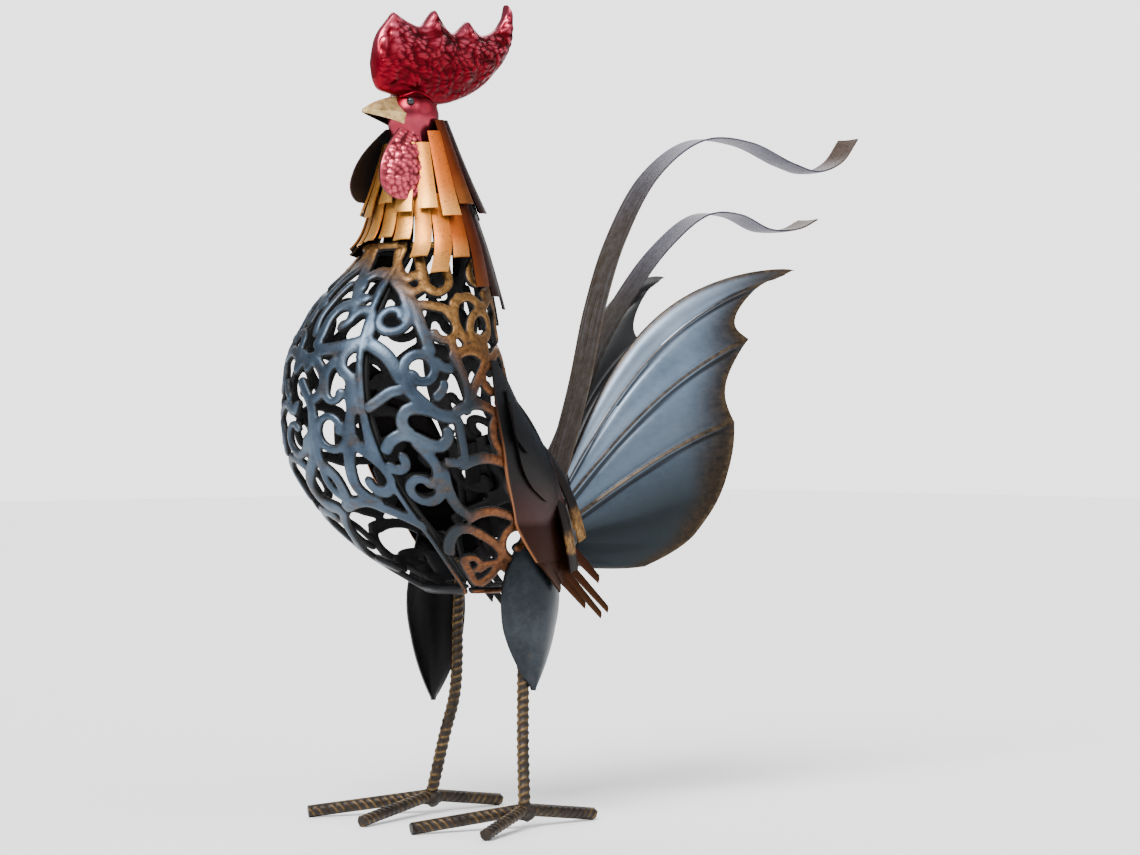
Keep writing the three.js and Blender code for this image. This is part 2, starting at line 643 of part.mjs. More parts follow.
function comb() {
  const last = COMB.length - 1;
  const puff = (u, v) => {
    const round = Math.sin(Math.PI * clamp(v, 0.02, 0.98)) ** 0.7;
    const ends = Math.sin(Math.PI * clamp(0.05 + 0.9 * u, 0, 1)) ** 0.6;
    return COMB_EDGE + (COMB_HALF - COMB_EDGE) * round * ends;
  };
  return placed(last, 5, (u, v, w) => {
    const row = COMB[Math.round(u * last)];
    const x = lerp(row.low[0], row.top[0], v);
    const z = lerp(row.low[1], row.top[1], v);
    const edge = v < 0.01 || v > 0.99;
    const half = edge ? COMB_EDGE : puff(u, v);
    return new THREE.Vector3(x, lerp(-half, half, w), z);
  });
}

function beak() {
  return plate(4, 3, (u, v) => {
    const angle = Math.PI * (u - 0.5);
    const open = 1 - clamp(v, 0, 0.97);
    const x = lerp(BEAK.base, BEAK.tip[0], v);
    const low = lerp(BEAK.bottom, BEAK.tip[1] - 1, v);
    const high = (BEAK.top - BEAK.tip[1]) * open ** 0.8 + BEAK.tip[1];
    const z = lerp(low, high, Math.cos(angle));
    return new THREE.Vector3(x, BEAK.width * open * Math.sin(angle), z);
  }, SHEET);
}

function wattle(side) {
  const { neck, full, round: foot, shut } = WATTLE_SHAPE;
  const turn = degToRad(WATTLE.turn);
  return plate(4, 5, (u, v) => {
    const down = clamp(v, 0, 1);
    const swell = lerp(neck, 1, Math.sin((Math.PI / 2) * Math.min(1, down / full)));
    const round = Math.sqrt(1 - shut * Math.max(0, (down - foot) / (1 - foot)) ** 2);
    const half = (WATTLE.width / 2) * swell * round;
    const across = (u - 0.5) * 2 * half;
    const dish = WATTLE.dish * (1 - (2 * u - 1) ** 2) * Math.sin(Math.PI * clamp(v, 0, 1));
    const hang = (1 - down) ** 2;
    const y = WATTLE.y + WATTLE.flare * down + dish * 0.7 + across * Math.sin(turn) - WATTLE.lean[1] * hang;
    const x = WATTLE.x + across * Math.cos(turn) + WATTLE.lean[0] * hang;
    return new THREE.Vector3(x, side * y, WATTLE.top - WATTLE.drop * v);
  }, side * WATTLE.wall);
}

// The space under the beak that the upper collar leaves open, drawn in by a gap at its back and foot
function throatBlock(gap) {
  const front = THROAT.front;
  const back = THROAT.back - gap;
  const low = THROAT.low + gap;
  const high = THROAT.high;
  const half = 3 * HEAD.width;
  return placed(1, 1, (u, v, w) => (
    new THREE.Vector3(lerp(front, back, u), lerp(-half, half, v), lerp(low, high, w))
  ));
}

// Strips cut down from one band, rolled round the neck with an open slit where its ends meet
function collar({ count, top, lift, ends, first }) {
  const pitch = 360 / count;
  const strips = Array.from({ length: count }, (_, i) => {
    const middle = FLAT_RADIUS * degToRad(first + i * pitch);
    const low = ends[i % ends.length];
    const line = [low, lerp(low, top, 0.4), lerp(low, top, 0.75), top];
    return strandCells(line.map((z) => new THREE.Vector3(middle, z, 0)), () => STRIP_WIDTH, SHEET);
  });
  const slit = placed(2, 1, (u, v, w) => {
    const angle = degToRad(first - pitch / 2 + lerp(1, 359, u));
    return new THREE.Vector3(FLAT_RADIUS * angle, lerp(0, top, v), lerp(-1, SHEET + 1, w));
  });
  const band = biggest(Manifold.union(strips.flat()).intersect(slit));
  const flare = (z) => STRIP_FLARE * ((top - z) / (top - Math.min(...ends))) ** 2;
  return pressed(band, (flat) => bodyPoint(flatAngle(flat), flat.y, lift + flare(flat.y) + flat.z));
}

// Half width of the body at a place on its side; below and behind it, the plates run straight
function sideOf(x, z) {
  const level = Math.max(z, 168);
  const centre = smoothAt(SECTIONS, "centre", level);
  const radius = smoothAt(SECTIONS, "radius", level);
  const reach = x > centre ? smoothAt(SECTIONS, "rear", level) : radius;
  const share = clamp((x - centre) / reach, -0.75, 0.75);
  return radius * Math.sqrt(1 - share * share) + FEATHER_FLARE * (level - z);
}

function sidePlate(rows, across, lift, side) {
  const table = rows.map((row) => ({ ...row })).reverse();
  const low = table[0].z;
  const high = table[table.length - 1].z;
  return placed(across, rows.length - 1, (u, v, w) => {
    const z = lerp(low, high, v);
    const x = lerp(smoothAt(table, "front", z), smoothAt(table, "rear", z), u);
    return new THREE.Vector3(x, side * (sideOf(x, z) + lift + w * SHEET), z);
  });
}

function feather({ root, tip, width }, lift, side) {
  const along = new THREE.Vector2(tip[0] - root[0], tip[1] - root[1]).normalize();
  return placed(1, 3, (u, v, w) => {
    const half = (u - 0.5) * width * lerp(1, 0.75, v);
    const x = lerp(root[0], tip[0], v) - along.y * half;
    const z = lerp(root[1], tip[1], v) + along.x * half;
    return new THREE.Vector3(x, side * (sideOf(x, z) + lift + w * SHEET), z);
  });
}

// The space between the wing's plate and the body, where the weld sits
function sideSlab(side) {
  const { x, z, radius } = WING_WELD;
  return placed(4, 4, (u, v, w) => {
    const px = x + (u - 0.5) * 2.4 * radius;
    const pz = z + (v - 0.5) * 2.4 * radius;
    return new THREE.Vector3(px, side * (sideOf(px, pz) - 2 + w * (WING_LIFT + 2.4)), pz);
  });
}

function wing(side) {
  const fingers = FEATHERS.map((row) => feather(row, WING_LIFT, side));
  const { x, z, radius } = WING_WELD;
  const weld = ball(new THREE.Vector3(x, side * sideOf(x, z), z), radius);
  const plates = Manifold.union([sidePlate(WING, 3, WING_LIFT, side), ...fingers]);
  return plates.add(weld.intersect(sideSlab(side)).subtract(bodyGrown));
}

function saddleStrips(side) {
  const strips = SADDLE.map(({ start, end, width }) => {
    const from = new THREE.Vector3(start[0], side * start[1], start[2]);
    const to = new THREE.Vector3(end[0], side * end[1], end[2]);
    const { share, back, out, up } = SADDLE_BEND;
    const bend = from.clone().lerp(to, share).add(new THREE.Vector3(back, side * out, up));
    const curve = new THREE.QuadraticBezierCurve3(from, bend, to);
    const flat = to.clone().sub(from).cross(new THREE.Vector3(0.4, side, 0.3)).normalize();
    return plate(1, 4, (u, v) => curve.getPoint(v).addScaledVector(flat, (u - 0.5) * width), side * SHEET);
  });
  return biggest(Manifold.union(strips).subtract(bodyGrown));
}

function fanRay({ start, end, bow }, share) {
  const from = new THREE.Vector2(...start);
  const along = new THREE.Vector2(...end).sub(from);
  const across = new THREE.Vector2(-along.y, along.x).normalize();
  const lift = bow * Math.sin(Math.PI * clamp(share, 0, 1) ** 1.15) ** 0.8;
  return from.addScaledVector(along, share).addScaledVector(across, lift);
}

function tailFan(side) {
  const turn = degToRad(TAIL_SPREAD);
  const panels = FAN_RAYS.length - 1;
  const split = 2;
  const face = (u, v) => {
    const place = clamp(u, 0, 1) * panels;
    const i = Math.min(Math.floor(place), panels - 1);
    const t = place - i;
    const reach = 0.04 + 0.96 * v * (1 - FAN_SCALLOP[i] * Math.sin(Math.PI * t) * v * v);
    const point = fanRay(FAN_RAYS[i], reach).lerp(fanRay(FAN_RAYS[i + 1], reach), t);
    const ribs = i < 3 ? Math.sin(Math.PI * t) : 0.5;
    const puff = FAN_PUFF * (ribs + 2 * Math.sin(Math.PI * u)) * Math.sin(Math.PI * 0.9 * v) * 0.6;
    const out = TAIL_ROOT.y + point.x * Math.sin(turn) + puff * Math.cos(turn);
    const x = TAIL_ROOT.x + point.x * Math.cos(turn) - puff * Math.sin(turn);
    return new THREE.Vector3(x, side * out, TAIL_ROOT.z + point.y);
  };
  const wall = (u, v, w) => {
    const point = face(u, v);
    point.y += side * (w - 0.5) * FAN_WALL;
    return point;
  };
  const tang = placed(1, 2, (u, v, w) => new THREE.Vector3(
    TAIL_ROOT.x + lerp(-TANG.reach, TANG.reach, u),
    side * (TAIL_ROOT.y + (w - 0.5) * FAN_WALL + TANG.splay * u),
    TAIL_ROOT.z + lerp(-TANG.below, TANG.above, v),
  ));
  return biggest(placed(panels * split, 5, wall).add(tang).subtract(bodyGrown).subtract(ribbonsGrown));
}

function ribbonForm({ y, path }, grow) {
  const points = path.map(([x, z]) => new THREE.Vector3(x, y, z));
  const curve = new THREE.CatmullRomCurve3(points, false, "centripetal");
  return placed(1, 18, (u, v, w) => {
    const share = clamp(v, 0, 1);
    const along = curve.getTangent(share);
    const thick = new THREE.Vector3(-along.z, 0, along.x).multiplyScalar((w - 0.5) * (RIBBON_WALL + 2 * grow));
    const point = curve.getPointAt(share).add(thick);
    point.y += (u - 0.5) * (RIBBON_WIDTH + 2 * grow) * lerp(1, 0.9, share);
    return point;
  });
}

function thigh(side, { x: middle, y: outer, tip }) {
  const height = THIGH.top - tip;
  return plate(4, 6, (u, v) => {
    const down = clamp(v, 0, 1);
    const shape = down < THIGH.widest
      ? 0.45 + 0.55 * Math.sin((Math.PI / 2) * (down / THIGH.widest))
      : Math.cos((Math.PI / 2) * ((down - THIGH.widest) / (1 - THIGH.widest))) ** 0.85;
    const half = THIGH.half * Math.max(shape, 0.06);
    const across = (u - 0.5) * 2;
    const sag = THIGH.dish * across * across * Math.min(1, half / THIGH.half + 0.1);
    const y = outer - sag * 0.8 - THIGH.tuck * down ** 3;
    return new THREE.Vector3(middle + across * half, side * y, THIGH.top - height * v);
  }, side * THIGH.wall);
}

function leg(side) {
  const points = LEG.map(([x, y, z]) => new THREE.Vector3(x, side * y, z));
  return rod(points, ROD_RADIUS, ROD_SIDES, 8);
}

function toe(side, { length, turn }, grow) {
  const heading = degToRad(turn);
  const start = new THREE.Vector3(ANKLE.x, side * ANKLE.y, ANKLE.z);
  const run = Math.sqrt(length * length - (ANKLE.z - TOE_RADIUS) ** 2);
  const end = new THREE.Vector3(
    start.x - run * Math.cos(heading),
    start.y + side * run * Math.sin(heading),
    TOE_RADIUS,
  );
  return rod([start.lerp(end, -grow / length), end], TOE_RADIUS + grow, ROD_SIDES, 1);
}

// Each toe stops against the toes before it, and the leg stands on all three
function addFoot(name, side) {
  const standing = leg(side).subtract(bodyGrown);
  let welded = null;
  for (const row of TOES[name]) {
    const whole = toe(side, row, 0);
    const grown = toe(side, row, WELD_GAP);
    addNode(`toe_${row.name}_${name}`, welded ? biggest(whole.subtract(welded)) : whole, "rod");
    welded = welded ? welded.add(grown) : grown;
  }
  addNode(`leg_${name}`, biggest(standing.subtract(welded)), "rod");
}

function seamRod() {
  const heights = [316, 290, 262, 235, 207, 180, 153, 132];
  const line = heights.map((z) => bodyPoint(seamAt(z), z, -SHELL_WALL - SEAM_ROD_RADIUS - 2 * SEAT_GAP));
  return rod(line, SEAM_ROD_RADIUS, 5, 14);
}

// Finishes, as painted on the iron
const FINISHES = {
  red: { color: "#a01a2c", roughness: 0.35, metalness: 0.35 },
  brass: { color: "#a88a52", roughness: 0.45, metalness: 0.7 },
  glass: { color: "#20242a", roughness: 0.15, metalness: 0 },
  hackle: { color: "#c8885a", roughness: 0.5, metalness: 0.6 },
  scroll: { color: "#4a5a68", roughness: 0.4, metalness: 0.8 },
  wing: { color: "#46353a", roughness: 0.45, metalness: 0.8 },
  tail: { color: "#5c6e80", roughness: 0.35, metalness: 0.85 },
  rod: { color: "#3a3026", roughness: 0.6, metalness: 0.7 },
};

const rooster = new THREE.Group();

function addNode(name, solid, finish) {
  const material = new THREE.MeshStandardMaterial({ ...FINISHES[finish] });
  const mesh = new THREE.Mesh(geometryOf(solid.simplify(TIDYING)), material);
  mesh.name = name;
  rooster.add(mesh);
}

const headGrown = headForm(WELD_GAP);
const ribbonsGrown = ribbonForm(LONG_RIBBON, WELD_GAP).add(ribbonForm(SHORT_RIBBON, WELD_GAP));
const bodyGrown = bodyForm(SEAT_GAP);
const neckGrown = bodyForm(UPPER_COLLAR.lift + SHEET + STRIP_FLARE + 2 * WELD_GAP).subtract(throatBlock(SEAT_GAP));
addNode("comb", biggest(comb().subtract(headGrown)), "red");
addNode("head", headShell(), "red");
addNode("beak", biggest(beak().subtract(headGrown)), "brass");

const sheet = shellSheet();
const upperCollar = biggest(collar(UPPER_COLLAR).subtract(headGrown).subtract(throatBlock(0)));
addNode("body_shell_left", shellHalf(sheet, 0), "scroll");
addNode("body_shell_right", shellHalf(sheet, 180), "scroll");
addNode("seam_rod", seamRod(), "scroll");
addNode("hackle_collar_lower", collar(LOWER_COLLAR), "hackle");
addNode("hackle_collar_upper", upperCollar, "hackle");

for (const [name, side] of SIDES) {
  const eye = ball(new THREE.Vector3(EYE.x, side * EYE.y, EYE.z), EYE.radius);
  addNode(`eye_${name}`, eye.subtract(headGrown), "glass");
  addNode(`wattle_${name}`, biggest(wattle(side).subtract(headGrown).subtract(neckGrown)), "red");
  addNode(`wing_${name}`, wing(side), "wing");
  addNode(`wing_covert_${name}`, sidePlate(COVERT, 3, WING_LIFT + SHEET + PLATE_GAP, side), "wing");
  addNode(`wing_tongue_${name}`, sidePlate(TONGUE, 3, WING_LIFT + 2 * (SHEET + PLATE_GAP), side), "wing");
  addNode(`saddle_strips_${name}`, saddleStrips(side), "hackle");
  addNode(`tail_fan_${name}`, tailFan(side), "tail");
  addNode(`thigh_${name}`, biggest(thigh(side, THIGH_SIDE[name]).subtract(bodyGrown)), "tail");
  addFoot(name, side);
}
addNode("tail_ribbon_long", biggest(ribbonForm(LONG_RIBBON, 0).subtract(bodyGrown)), "tail");
addNode("tail_ribbon_short", biggest(ribbonForm(SHORT_RIBBON, 0).subtract(bodyGrown)), "tail");

// The origin goes under the middle of the whole bird's box, on the ground
const box = new THREE.Box3().setFromObject(rooster);
rooster.position.set(-(box.min.x + box.max.x) / 2, -(box.min.y + box.max.y) / 2, -box.min.z);

export default rooster;
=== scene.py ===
# %% [markdown]
# # A rooster of painted scrap iron
#
# The bird stands about 46 cm high. Its body is pressed scrollwork, its neck is dressed in cut
# strips of sheet, and its legs are ribbed building rod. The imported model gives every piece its
# size and place. This script dresses each one: it makes finer forms over the same sizes and
# paints them with procedural finishes.

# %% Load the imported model
import math

import bmesh
import bpy
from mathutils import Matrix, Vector, noise


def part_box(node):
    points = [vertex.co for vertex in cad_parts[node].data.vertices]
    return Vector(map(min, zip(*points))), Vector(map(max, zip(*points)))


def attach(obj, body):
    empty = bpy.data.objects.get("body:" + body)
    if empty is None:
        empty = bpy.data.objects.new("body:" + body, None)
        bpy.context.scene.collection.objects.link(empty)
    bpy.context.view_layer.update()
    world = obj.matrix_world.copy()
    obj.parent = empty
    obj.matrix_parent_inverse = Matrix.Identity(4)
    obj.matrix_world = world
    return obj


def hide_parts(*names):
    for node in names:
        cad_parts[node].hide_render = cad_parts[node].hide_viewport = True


# The noise that moves the hammered bumps starts from this seed, so each run gives the same bird.
BUMP_SEED = 6
noise.seed_set(BUMP_SEED)

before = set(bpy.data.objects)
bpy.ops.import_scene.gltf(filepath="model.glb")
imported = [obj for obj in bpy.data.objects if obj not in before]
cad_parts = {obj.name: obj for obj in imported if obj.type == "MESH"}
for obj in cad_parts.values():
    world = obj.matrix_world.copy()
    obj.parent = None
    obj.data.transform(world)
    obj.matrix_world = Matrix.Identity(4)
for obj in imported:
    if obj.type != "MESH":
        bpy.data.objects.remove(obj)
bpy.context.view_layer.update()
print("the packed model has", len(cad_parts), "nodes")

# %% [markdown]
# ## The bird's own frame
#
# The sizes below are millimetres from a point on the ground midway between the ankles, with the
# beak towards -X and the bird's left side at -Y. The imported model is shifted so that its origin
# lies under the middle of its box. The comb's front edge gives the shift back.

# %% From the bird's millimetres to the row's metres
METRE = 1000
COMB_FRONT = -75.0
comb_low, comb_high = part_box("comb")
comb_middle = (comb_low[1] + comb_high[1]) / 2
SHIFT = Vector((comb_low[0] * METRE - COMB_FRONT, comb_middle * METRE, 0.0))
SIDES = {"left": -1, "right": 1}


def in_row(point):
    return (Vector(point) + SHIFT) / METRE


def mix(a, b, share):
    return a + (b - a) * share


def held(value, low=0.0, high=1.0):
    return max(low, min(high, value))


def rows(keys, *lines):
    """A table: one dictionary for each line, all with the same keys."""
    return [dict(zip(keys.split(), line)) for line in lines]


print("shift in millimetres:", [round(c, 2) for c in SHIFT])

# %% [markdown]
# ## Camera and light
#
# The two feet are seen at two depths, which fixes the camera: nearly level with the belly, about
# 1.55 m off, 42 degrees round from the bird's left side towards its front. A long lens keeps the
# body's proportions. The light is a plain white studio: a pale floor, a bright surround for the
# metal to mirror, and three wide suns. A sun lights the whole floor alike.

# %% Camera
CAMERA_AT = (-999, -1186, 220)
CAMERA_LOOKS_AT = (37.9, -34.1, 220)
CAMERA_LENS = 87.4
CAMERA_SENSOR = 36
CAMERA_REACH = 50
camera_data = bpy.data.cameras.new("camera")
camera_data.lens = CAMERA_LENS
camera_data.sensor_width = CAMERA_SENSOR
camera_data.clip_end = CAMERA_REACH
camera = bpy.data.objects.new("camera", camera_data)
bpy.context.collection.objects.link(camera)
camera.location = in_row(CAMERA_AT)
view_line = in_row(CAMERA_LOOKS_AT) - camera.location
camera.rotation_euler = view_line.to_track_quat("-Z", "Y").to_euler()
bpy.context.scene.camera = camera
print("camera at", [round(c, 3) for c in camera.location])

# %% Floor
FLOOR_HALF = 6
floor_shape = bmesh.new()
bmesh.ops.create_grid(floor_shape, x_segments=1, y_segments=1, size=FLOOR_HALF)
floor_mesh = bpy.data.meshes.new("floor")
floor_shape.to_mesh(floor_mesh)
floor_shape.free()
floor = bpy.data.objects.new("floor", floor_mesh)
bpy.context.collection.objects.link(floor)
print("the floor is", 2 * FLOOR_HALF, "m wide")

# %% Surround: one glow for the metal to mirror, and a white one behind the bird
MIRRORED_GLOW = (0.93, 0.96, 1.0)
MIRRORED_STRENGTH = 0.45
BEHIND_STRENGTH = 2.7
world = bpy.data.worlds.new("studio")
world.use_nodes = True
sky = world.node_tree
surround = sky.nodes["Background"]
surround.inputs["Color"].default_value = (*MIRRORED_GLOW, 1)
surround.inputs["Strength"].default_value = MIRRORED_STRENGTH
behind = sky.nodes.new("ShaderNodeBackground")
behind.inputs["Color"].default_value = (1, 1, 1, 1)
behind.inputs["Strength"].default_value = BEHIND_STRENGTH
seen = sky.nodes.new("ShaderNodeLightPath")
choose = sky.nodes.new("ShaderNodeMixShader")
for start, end in (
    (seen.outputs["Is Camera Ray"], choose.inputs[0]),
    (surround.outputs[0], choose.inputs[1]),
    (behind.outputs[0], choose.inputs[2]),
    (choose.outputs[0], sky.nodes["World Output"].inputs["Surface"]),
):
    sky.links.new(start, end)
bpy.context.scene.world = world
print("the glow for metal is", MIRRORED_STRENGTH, "and behind the bird", BEHIND_STRENGTH)

# %% Three suns, each as wide as its angle in degrees
SUNS = rows(
    "name from power angle",
    ("key", (-1.0, -0.5, 1.35), 7.0, 34),
    ("fill", (0.25, -1.0, 0.7), 1.2, 60),
    ("back", (0.9, 0.9, 0.8), 1.8, 50),
)
for row in SUNS:
    sun = bpy.data.lights.new(row["name"], "SUN")
    sun.energy = row["power"]
    sun.angle = math.radians(row["angle"])
    lamp = bpy.data.objects.new(row["name"], sun)
    lamp.rotation_euler = Vector(row["from"]).to_track_quat("Z", "Y").to_euler()
    bpy.context.collection.objects.link(lamp)
print(len(SUNS), "suns")

# %% [markdown]
# ## Writing finishes as sums
#
# A finish is a small sum: rust here, gold where the strand stands proud. The class below wraps
# an output socket so that Python's own signs add the Math nodes. One function makes any other
# node. Numbers that are the same all over go straight onto the shader.

# %% Sockets that can be added and multiplied
class Wire:
    def __init__(self, tree, socket):
        self.tree = tree
        self.socket = socket

    def sum_of(self, operation, a, b):
        return wire(self.tree, "ShaderNodeMath", {"operation": operation}, {0: a, 1: b})

    def __add__(self, other):
        return self.sum_of("ADD", self, other)

    def __radd__(self, other):
        return self.sum_of("ADD", other, self)

    def __sub__(self, other):
        return self.sum_of("SUBTRACT", self, other)

    def __rsub__(self, other):
        return self.sum_of("SUBTRACT", other, self)

    def __mul__(self, other):
        return self.sum_of("MULTIPLY", self, other)

    def __rmul__(self, other):
        return self.sum_of("MULTIPLY", other, self)

    def ramp(self, start, end):
        """0 before start, 1 after end."""
        sockets = {0: self, 1: start, 2: end}
        return wire(self.tree, "ShaderNodeMapRange", {"interpolation_type": "SMOOTHSTEP"}, sockets)


def wire(tree, kind, settings, sockets, output=0):
    node = tree.nodes.new(kind)
    for key, value in settings.items():
        if key == "stops":
            while len(node.color_ramp.elements) < len(value):
                node.color_ramp.elements.new(0.5)
            for element, (place, colour) in zip(node.color_ramp.elements, value):
                element.position = place
                element.color = (*colour, 1)
        else:
            setattr(node, key, value)
    for key, value in sockets.items():
        if isinstance(value, Wire):
            tree.links.new(value.socket, node.inputs[key])
        elif isinstance(value, tuple) and len(value) == 3 and len(node.inputs[key].default_value) == 4:
            node.inputs[key].default_value = (*value, 1)
        else:
            node.inputs[key].default_value = value
    return Wire(tree, node.outputs[output])


def paint_mix(share, under, over):
    tree = next(item.tree for item in (share, under, over) if isinstance(item, Wire))
    return wire(tree, "ShaderNodeMix", {"data_type": "RGBA"}, {0: share, 6: under, 7: over}, 2)


def coloured(value, stops):
    return wire(value.tree, "ShaderNodeValToRGB", {"stops": stops}, {0: value})

# %% A new finish and the things it can read
class Finish:
    """A material with a Principled shader, and short names for what its sums read.

    x, y and z are the bird's own millimetres.
    """

    def __init__(self, name):
        self.material = bpy.data.materials.new(name)
        self.material.use_nodes = True
        self.tree = self.material.node_tree
        self.shader = self.tree.nodes["Principled BSDF"]
        self.place = wire(self.tree, "ShaderNodeTexCoord", {}, {}, 3)
        self.x, self.y, self.z = (
            part * METRE - shift for part, shift in zip(self.parts_of(self.place), SHIFT)
        )

    def parts_of(self, vector):
        split = wire(self.tree, "ShaderNodeSeparateXYZ", {}, {0: vector})
        return [Wire(self.tree, socket) for socket in split.socket.node.outputs]

    def speckle(self, scale, detail=3.0, rough=0.55, stretch=(1, 1, 1)):
        sockets = {"Vector": self.place, "Scale": stretch}
        place = wire(self.tree, "ShaderNodeMapping", {}, sockets)
        sockets = {"Vector": place, "Scale": scale, "Detail": detail, "Roughness": rough}
        return wire(self.tree, "ShaderNodeTexNoise", {}, sockets)

    def cells(self, scale):
        return wire(self.tree, "ShaderNodeTexVoronoi", {}, {"Vector": self.place, "Scale": scale})

    def mark(self, name):
        return wire(self.tree, "ShaderNodeAttribute", {"attribute_name": name}, {}, 2)

    def sheet(self):
        """The two shares of the sheet's own map."""
        uv = wire(self.tree, "ShaderNodeUVMap", {"uv_map": "sheet"}, {})
        return self.parts_of(uv)[:2]

    def direction(self, operation, a, b=(0, 0, 0), output=0):
        sockets = {0: a, 1: b}
        return wire(self.tree, "ShaderNodeVectorMath", {"operation": operation}, sockets, output)

    def facing(self, way):
        """How far the surface turns to a direction of the bird's own, from -1 to 1."""
        normal = wire(self.tree, "ShaderNodeTexCoord", {}, {}, 1)
        return self.direction("DOT_PRODUCT", way, normal, 1)

    def outward(self, centre_x):
        """How far the surface turns away from an upright axis: 1 outside, -1 inside."""
        arm = self.direction("SUBTRACT", self.place, tuple(in_row((centre_x, 0, 0))))
        level = self.direction("MULTIPLY", arm, (1, 1, 0))
        return self.facing(self.direction("NORMALIZE", level))

    def set(self, key, value):
        socket = self.shader.inputs[key]
        if isinstance(value, Wire):
            self.tree.links.new(value.socket, socket)
        elif isinstance(value, tuple):
            socket.default_value = (*value, 1)
        else:
            socket.default_value = value

    def coat(self, base, metallic, roughness, bump, strength, distance=0.0004):
        """Sets the paint, its sheen and its fine bumps, and gives the material."""
        sockets = {"Height": bump, "Strength": strength, "Distance": distance}
        self.set("Base Color", base)
        self.set("Metallic", metallic)
        self.set("Roughness", roughness)
        self.set("Normal", wire(self.tree, "ShaderNodeBump", {}, sockets))
        return self.material


print("finishes read object coordinates, the sheet's own map, 'raised' and 'outside'")

# %% [markdown]
# ## Shaping sheet
#
# Nearly every piece began as flat sheet. So each starts here as a flat grid whose corners are
# moved by a rule of two shares: across and along. Solidify then gives the sheet its wall. The
# same two shares are kept as the piece's map, so a finish can follow an edge or a rib.

# %% Grids, rules and walls
def new_shape():
    shape = bmesh.new()
    shape.loops.layers.uv.new("sheet")
    shape.verts.layers.float.new("raised")
    return shape


def grid_on(shape, across, along, rule):
    """Adds a grid to a shape. The rule gives a corner's place, and may give how proud it is."""
    made = bmesh.ops.create_grid(shape, x_segments=across, y_segments=along, size=0.5)["verts"]
    uv = shape.loops.layers.uv["sheet"]
    raised = shape.verts.layers.float["raised"]
    faces = {face for vert in made for face in vert.link_faces}
    for face in faces:
        for loop in face.loops:
            loop[uv].uv = (loop.vert.co.x + 0.5, loop.vert.co.y + 0.5)
    for vert in made:
        answer = rule(held(vert.co.x + 0.5), held(vert.co.y + 0.5))
        if isinstance(answer, tuple):
            vert.co, vert[raised] = answer
        else:
            vert.co = answer
    return made


def walled(shape, wall):
    bmesh.ops.recalc_face_normals(shape, faces=shape.faces[:])
    bmesh.ops.solidify(shape, geom=shape.faces[:], thickness=wall)


def pour(shape, into):
    """Adds a finished shape to another one."""
    spare = bpy.data.meshes.new("spare")
    shape.to_mesh(spare)
    shape.free()
    into.from_mesh(spare)
    bpy.data.meshes.remove(spare)


def sheet_on(shape, across, along, rule, wall):
    part = new_shape()
    grid_on(part, across, along, rule)
    walled(part, wall)
    pour(part, shape)


def bridged(shape):
    """Closes the gap between two open rims."""
    bmesh.ops.bridge_loops(shape, edges=[edge for edge in shape.edges if edge.is_boundary])


def two_faced(across, along, rule, wall):
    """Two grids a wall apart, closed round the rim. The mark 'outside' tells them apart."""
    shape = new_shape()
    outside = shape.verts.layers.float.new("outside")
    for depth in (0.0, wall):
        for vert in grid_on(shape, across, along, lambda u, v: rule(u, v, depth)):
            vert[outside] = 0.0 if depth else 1.0
    bridged(shape)
    return shape

# %% Turning a shape into a dressed piece
SAME_PLACE = 0.01


def object_from(shape, name):
    """Carries a shape from millimetres to the row's metres and makes an object of it."""
    for vert in shape.verts:
        vert.co = in_row(vert.co)
    mesh = bpy.data.meshes.new(name)
    shape.to_mesh(mesh)
    shape.free()
    thing = bpy.data.objects.new(name, mesh)
    bpy.context.collection.objects.link(thing)
    return thing


def joined_up(shape, gap):
    bmesh.ops.remove_doubles(shape, verts=shape.verts[:], dist=gap)
    bmesh.ops.recalc_face_normals(shape, faces=shape.faces[:])


def piece_from(shape, name, material, crease=40, tidy=True, node=None):
    """crease is the angle in degrees from which an edge stays sharp."""
    if tidy:
        joined_up(shape, SAME_PLACE)
    piece = object_from(shape, name)
    mesh = piece.data
    mesh.shade_smooth()
    mesh.set_sharp_from_angle(angle=math.radians(crease))
    mesh.materials.append(material)
    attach(piece, "root")
    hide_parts(node or name)
    print(name, "has", sum(len(face.vertices) - 2 for face in mesh.polygons), "triangles")

# %% [markdown]
# ## The body's form
#
# The body is round in level section, longer towards the rump. A table of heights gives each
# section's centre and reach. The scrolls are drawn on a flat sheet as they are seen from the
# front left, and then pressed onto this form.

# %% Sections of the body
SECTIONS = rows(
    "z centre radius rear",
    (126, -9, 18, 32), (153, -33, 41, 80), (180, -48, 55, 99), (207, -57, 62, 92),
    (235, -60, 61.5, 69), (262, -60, 57.5, 57.5), (289, -53, 48, 48), (316, -41, 33.5, 33.5),
    (341, -41, 26, 26), (376, -43, 16, 16), (389, -44.5, 12.5, 12.5),
)
DRAWING_TURN = 42
DRAWING_AXIS = -60
DRAWING_EDGE = 0.985
FLAT_RADIUS = 60
TABLE_STEP = 0.5
TABLE_OVERRUN = 0.3


def bent(a, b, start, finish, t):
    """A share t of the way from a to b, leaving a along start and reaching b along finish."""
    step = b - a
    return a + t * (start + t * (3 * step - 2 * start - finish + t * (start + finish - 2 * step)))


def smooth_at(table, key, z):
    last = len(table) - 1
    i = 0
    while i < last - 1 and table[i + 1]["z"] <= z:
        i += 1

    def slope(k):
        a, b = table[max(k - 1, 0)], table[min(k + 1, last)]
        return (b[key] - a[key]) / (b["z"] - a["z"])

    low, high = table[i], table[i + 1]
    span = high["z"] - low["z"]
    t = held((z - low["z"]) / span, -TABLE_OVERRUN, 1 + TABLE_OVERRUN)
    return bent(low[key], high[key], slope(i) * span, slope(i + 1) * span, t)


print("sections from", SECTIONS[0]["z"], "to", SECTIONS[-1]["z"], "mm up")

# %% Points on the body
section_cache = {}


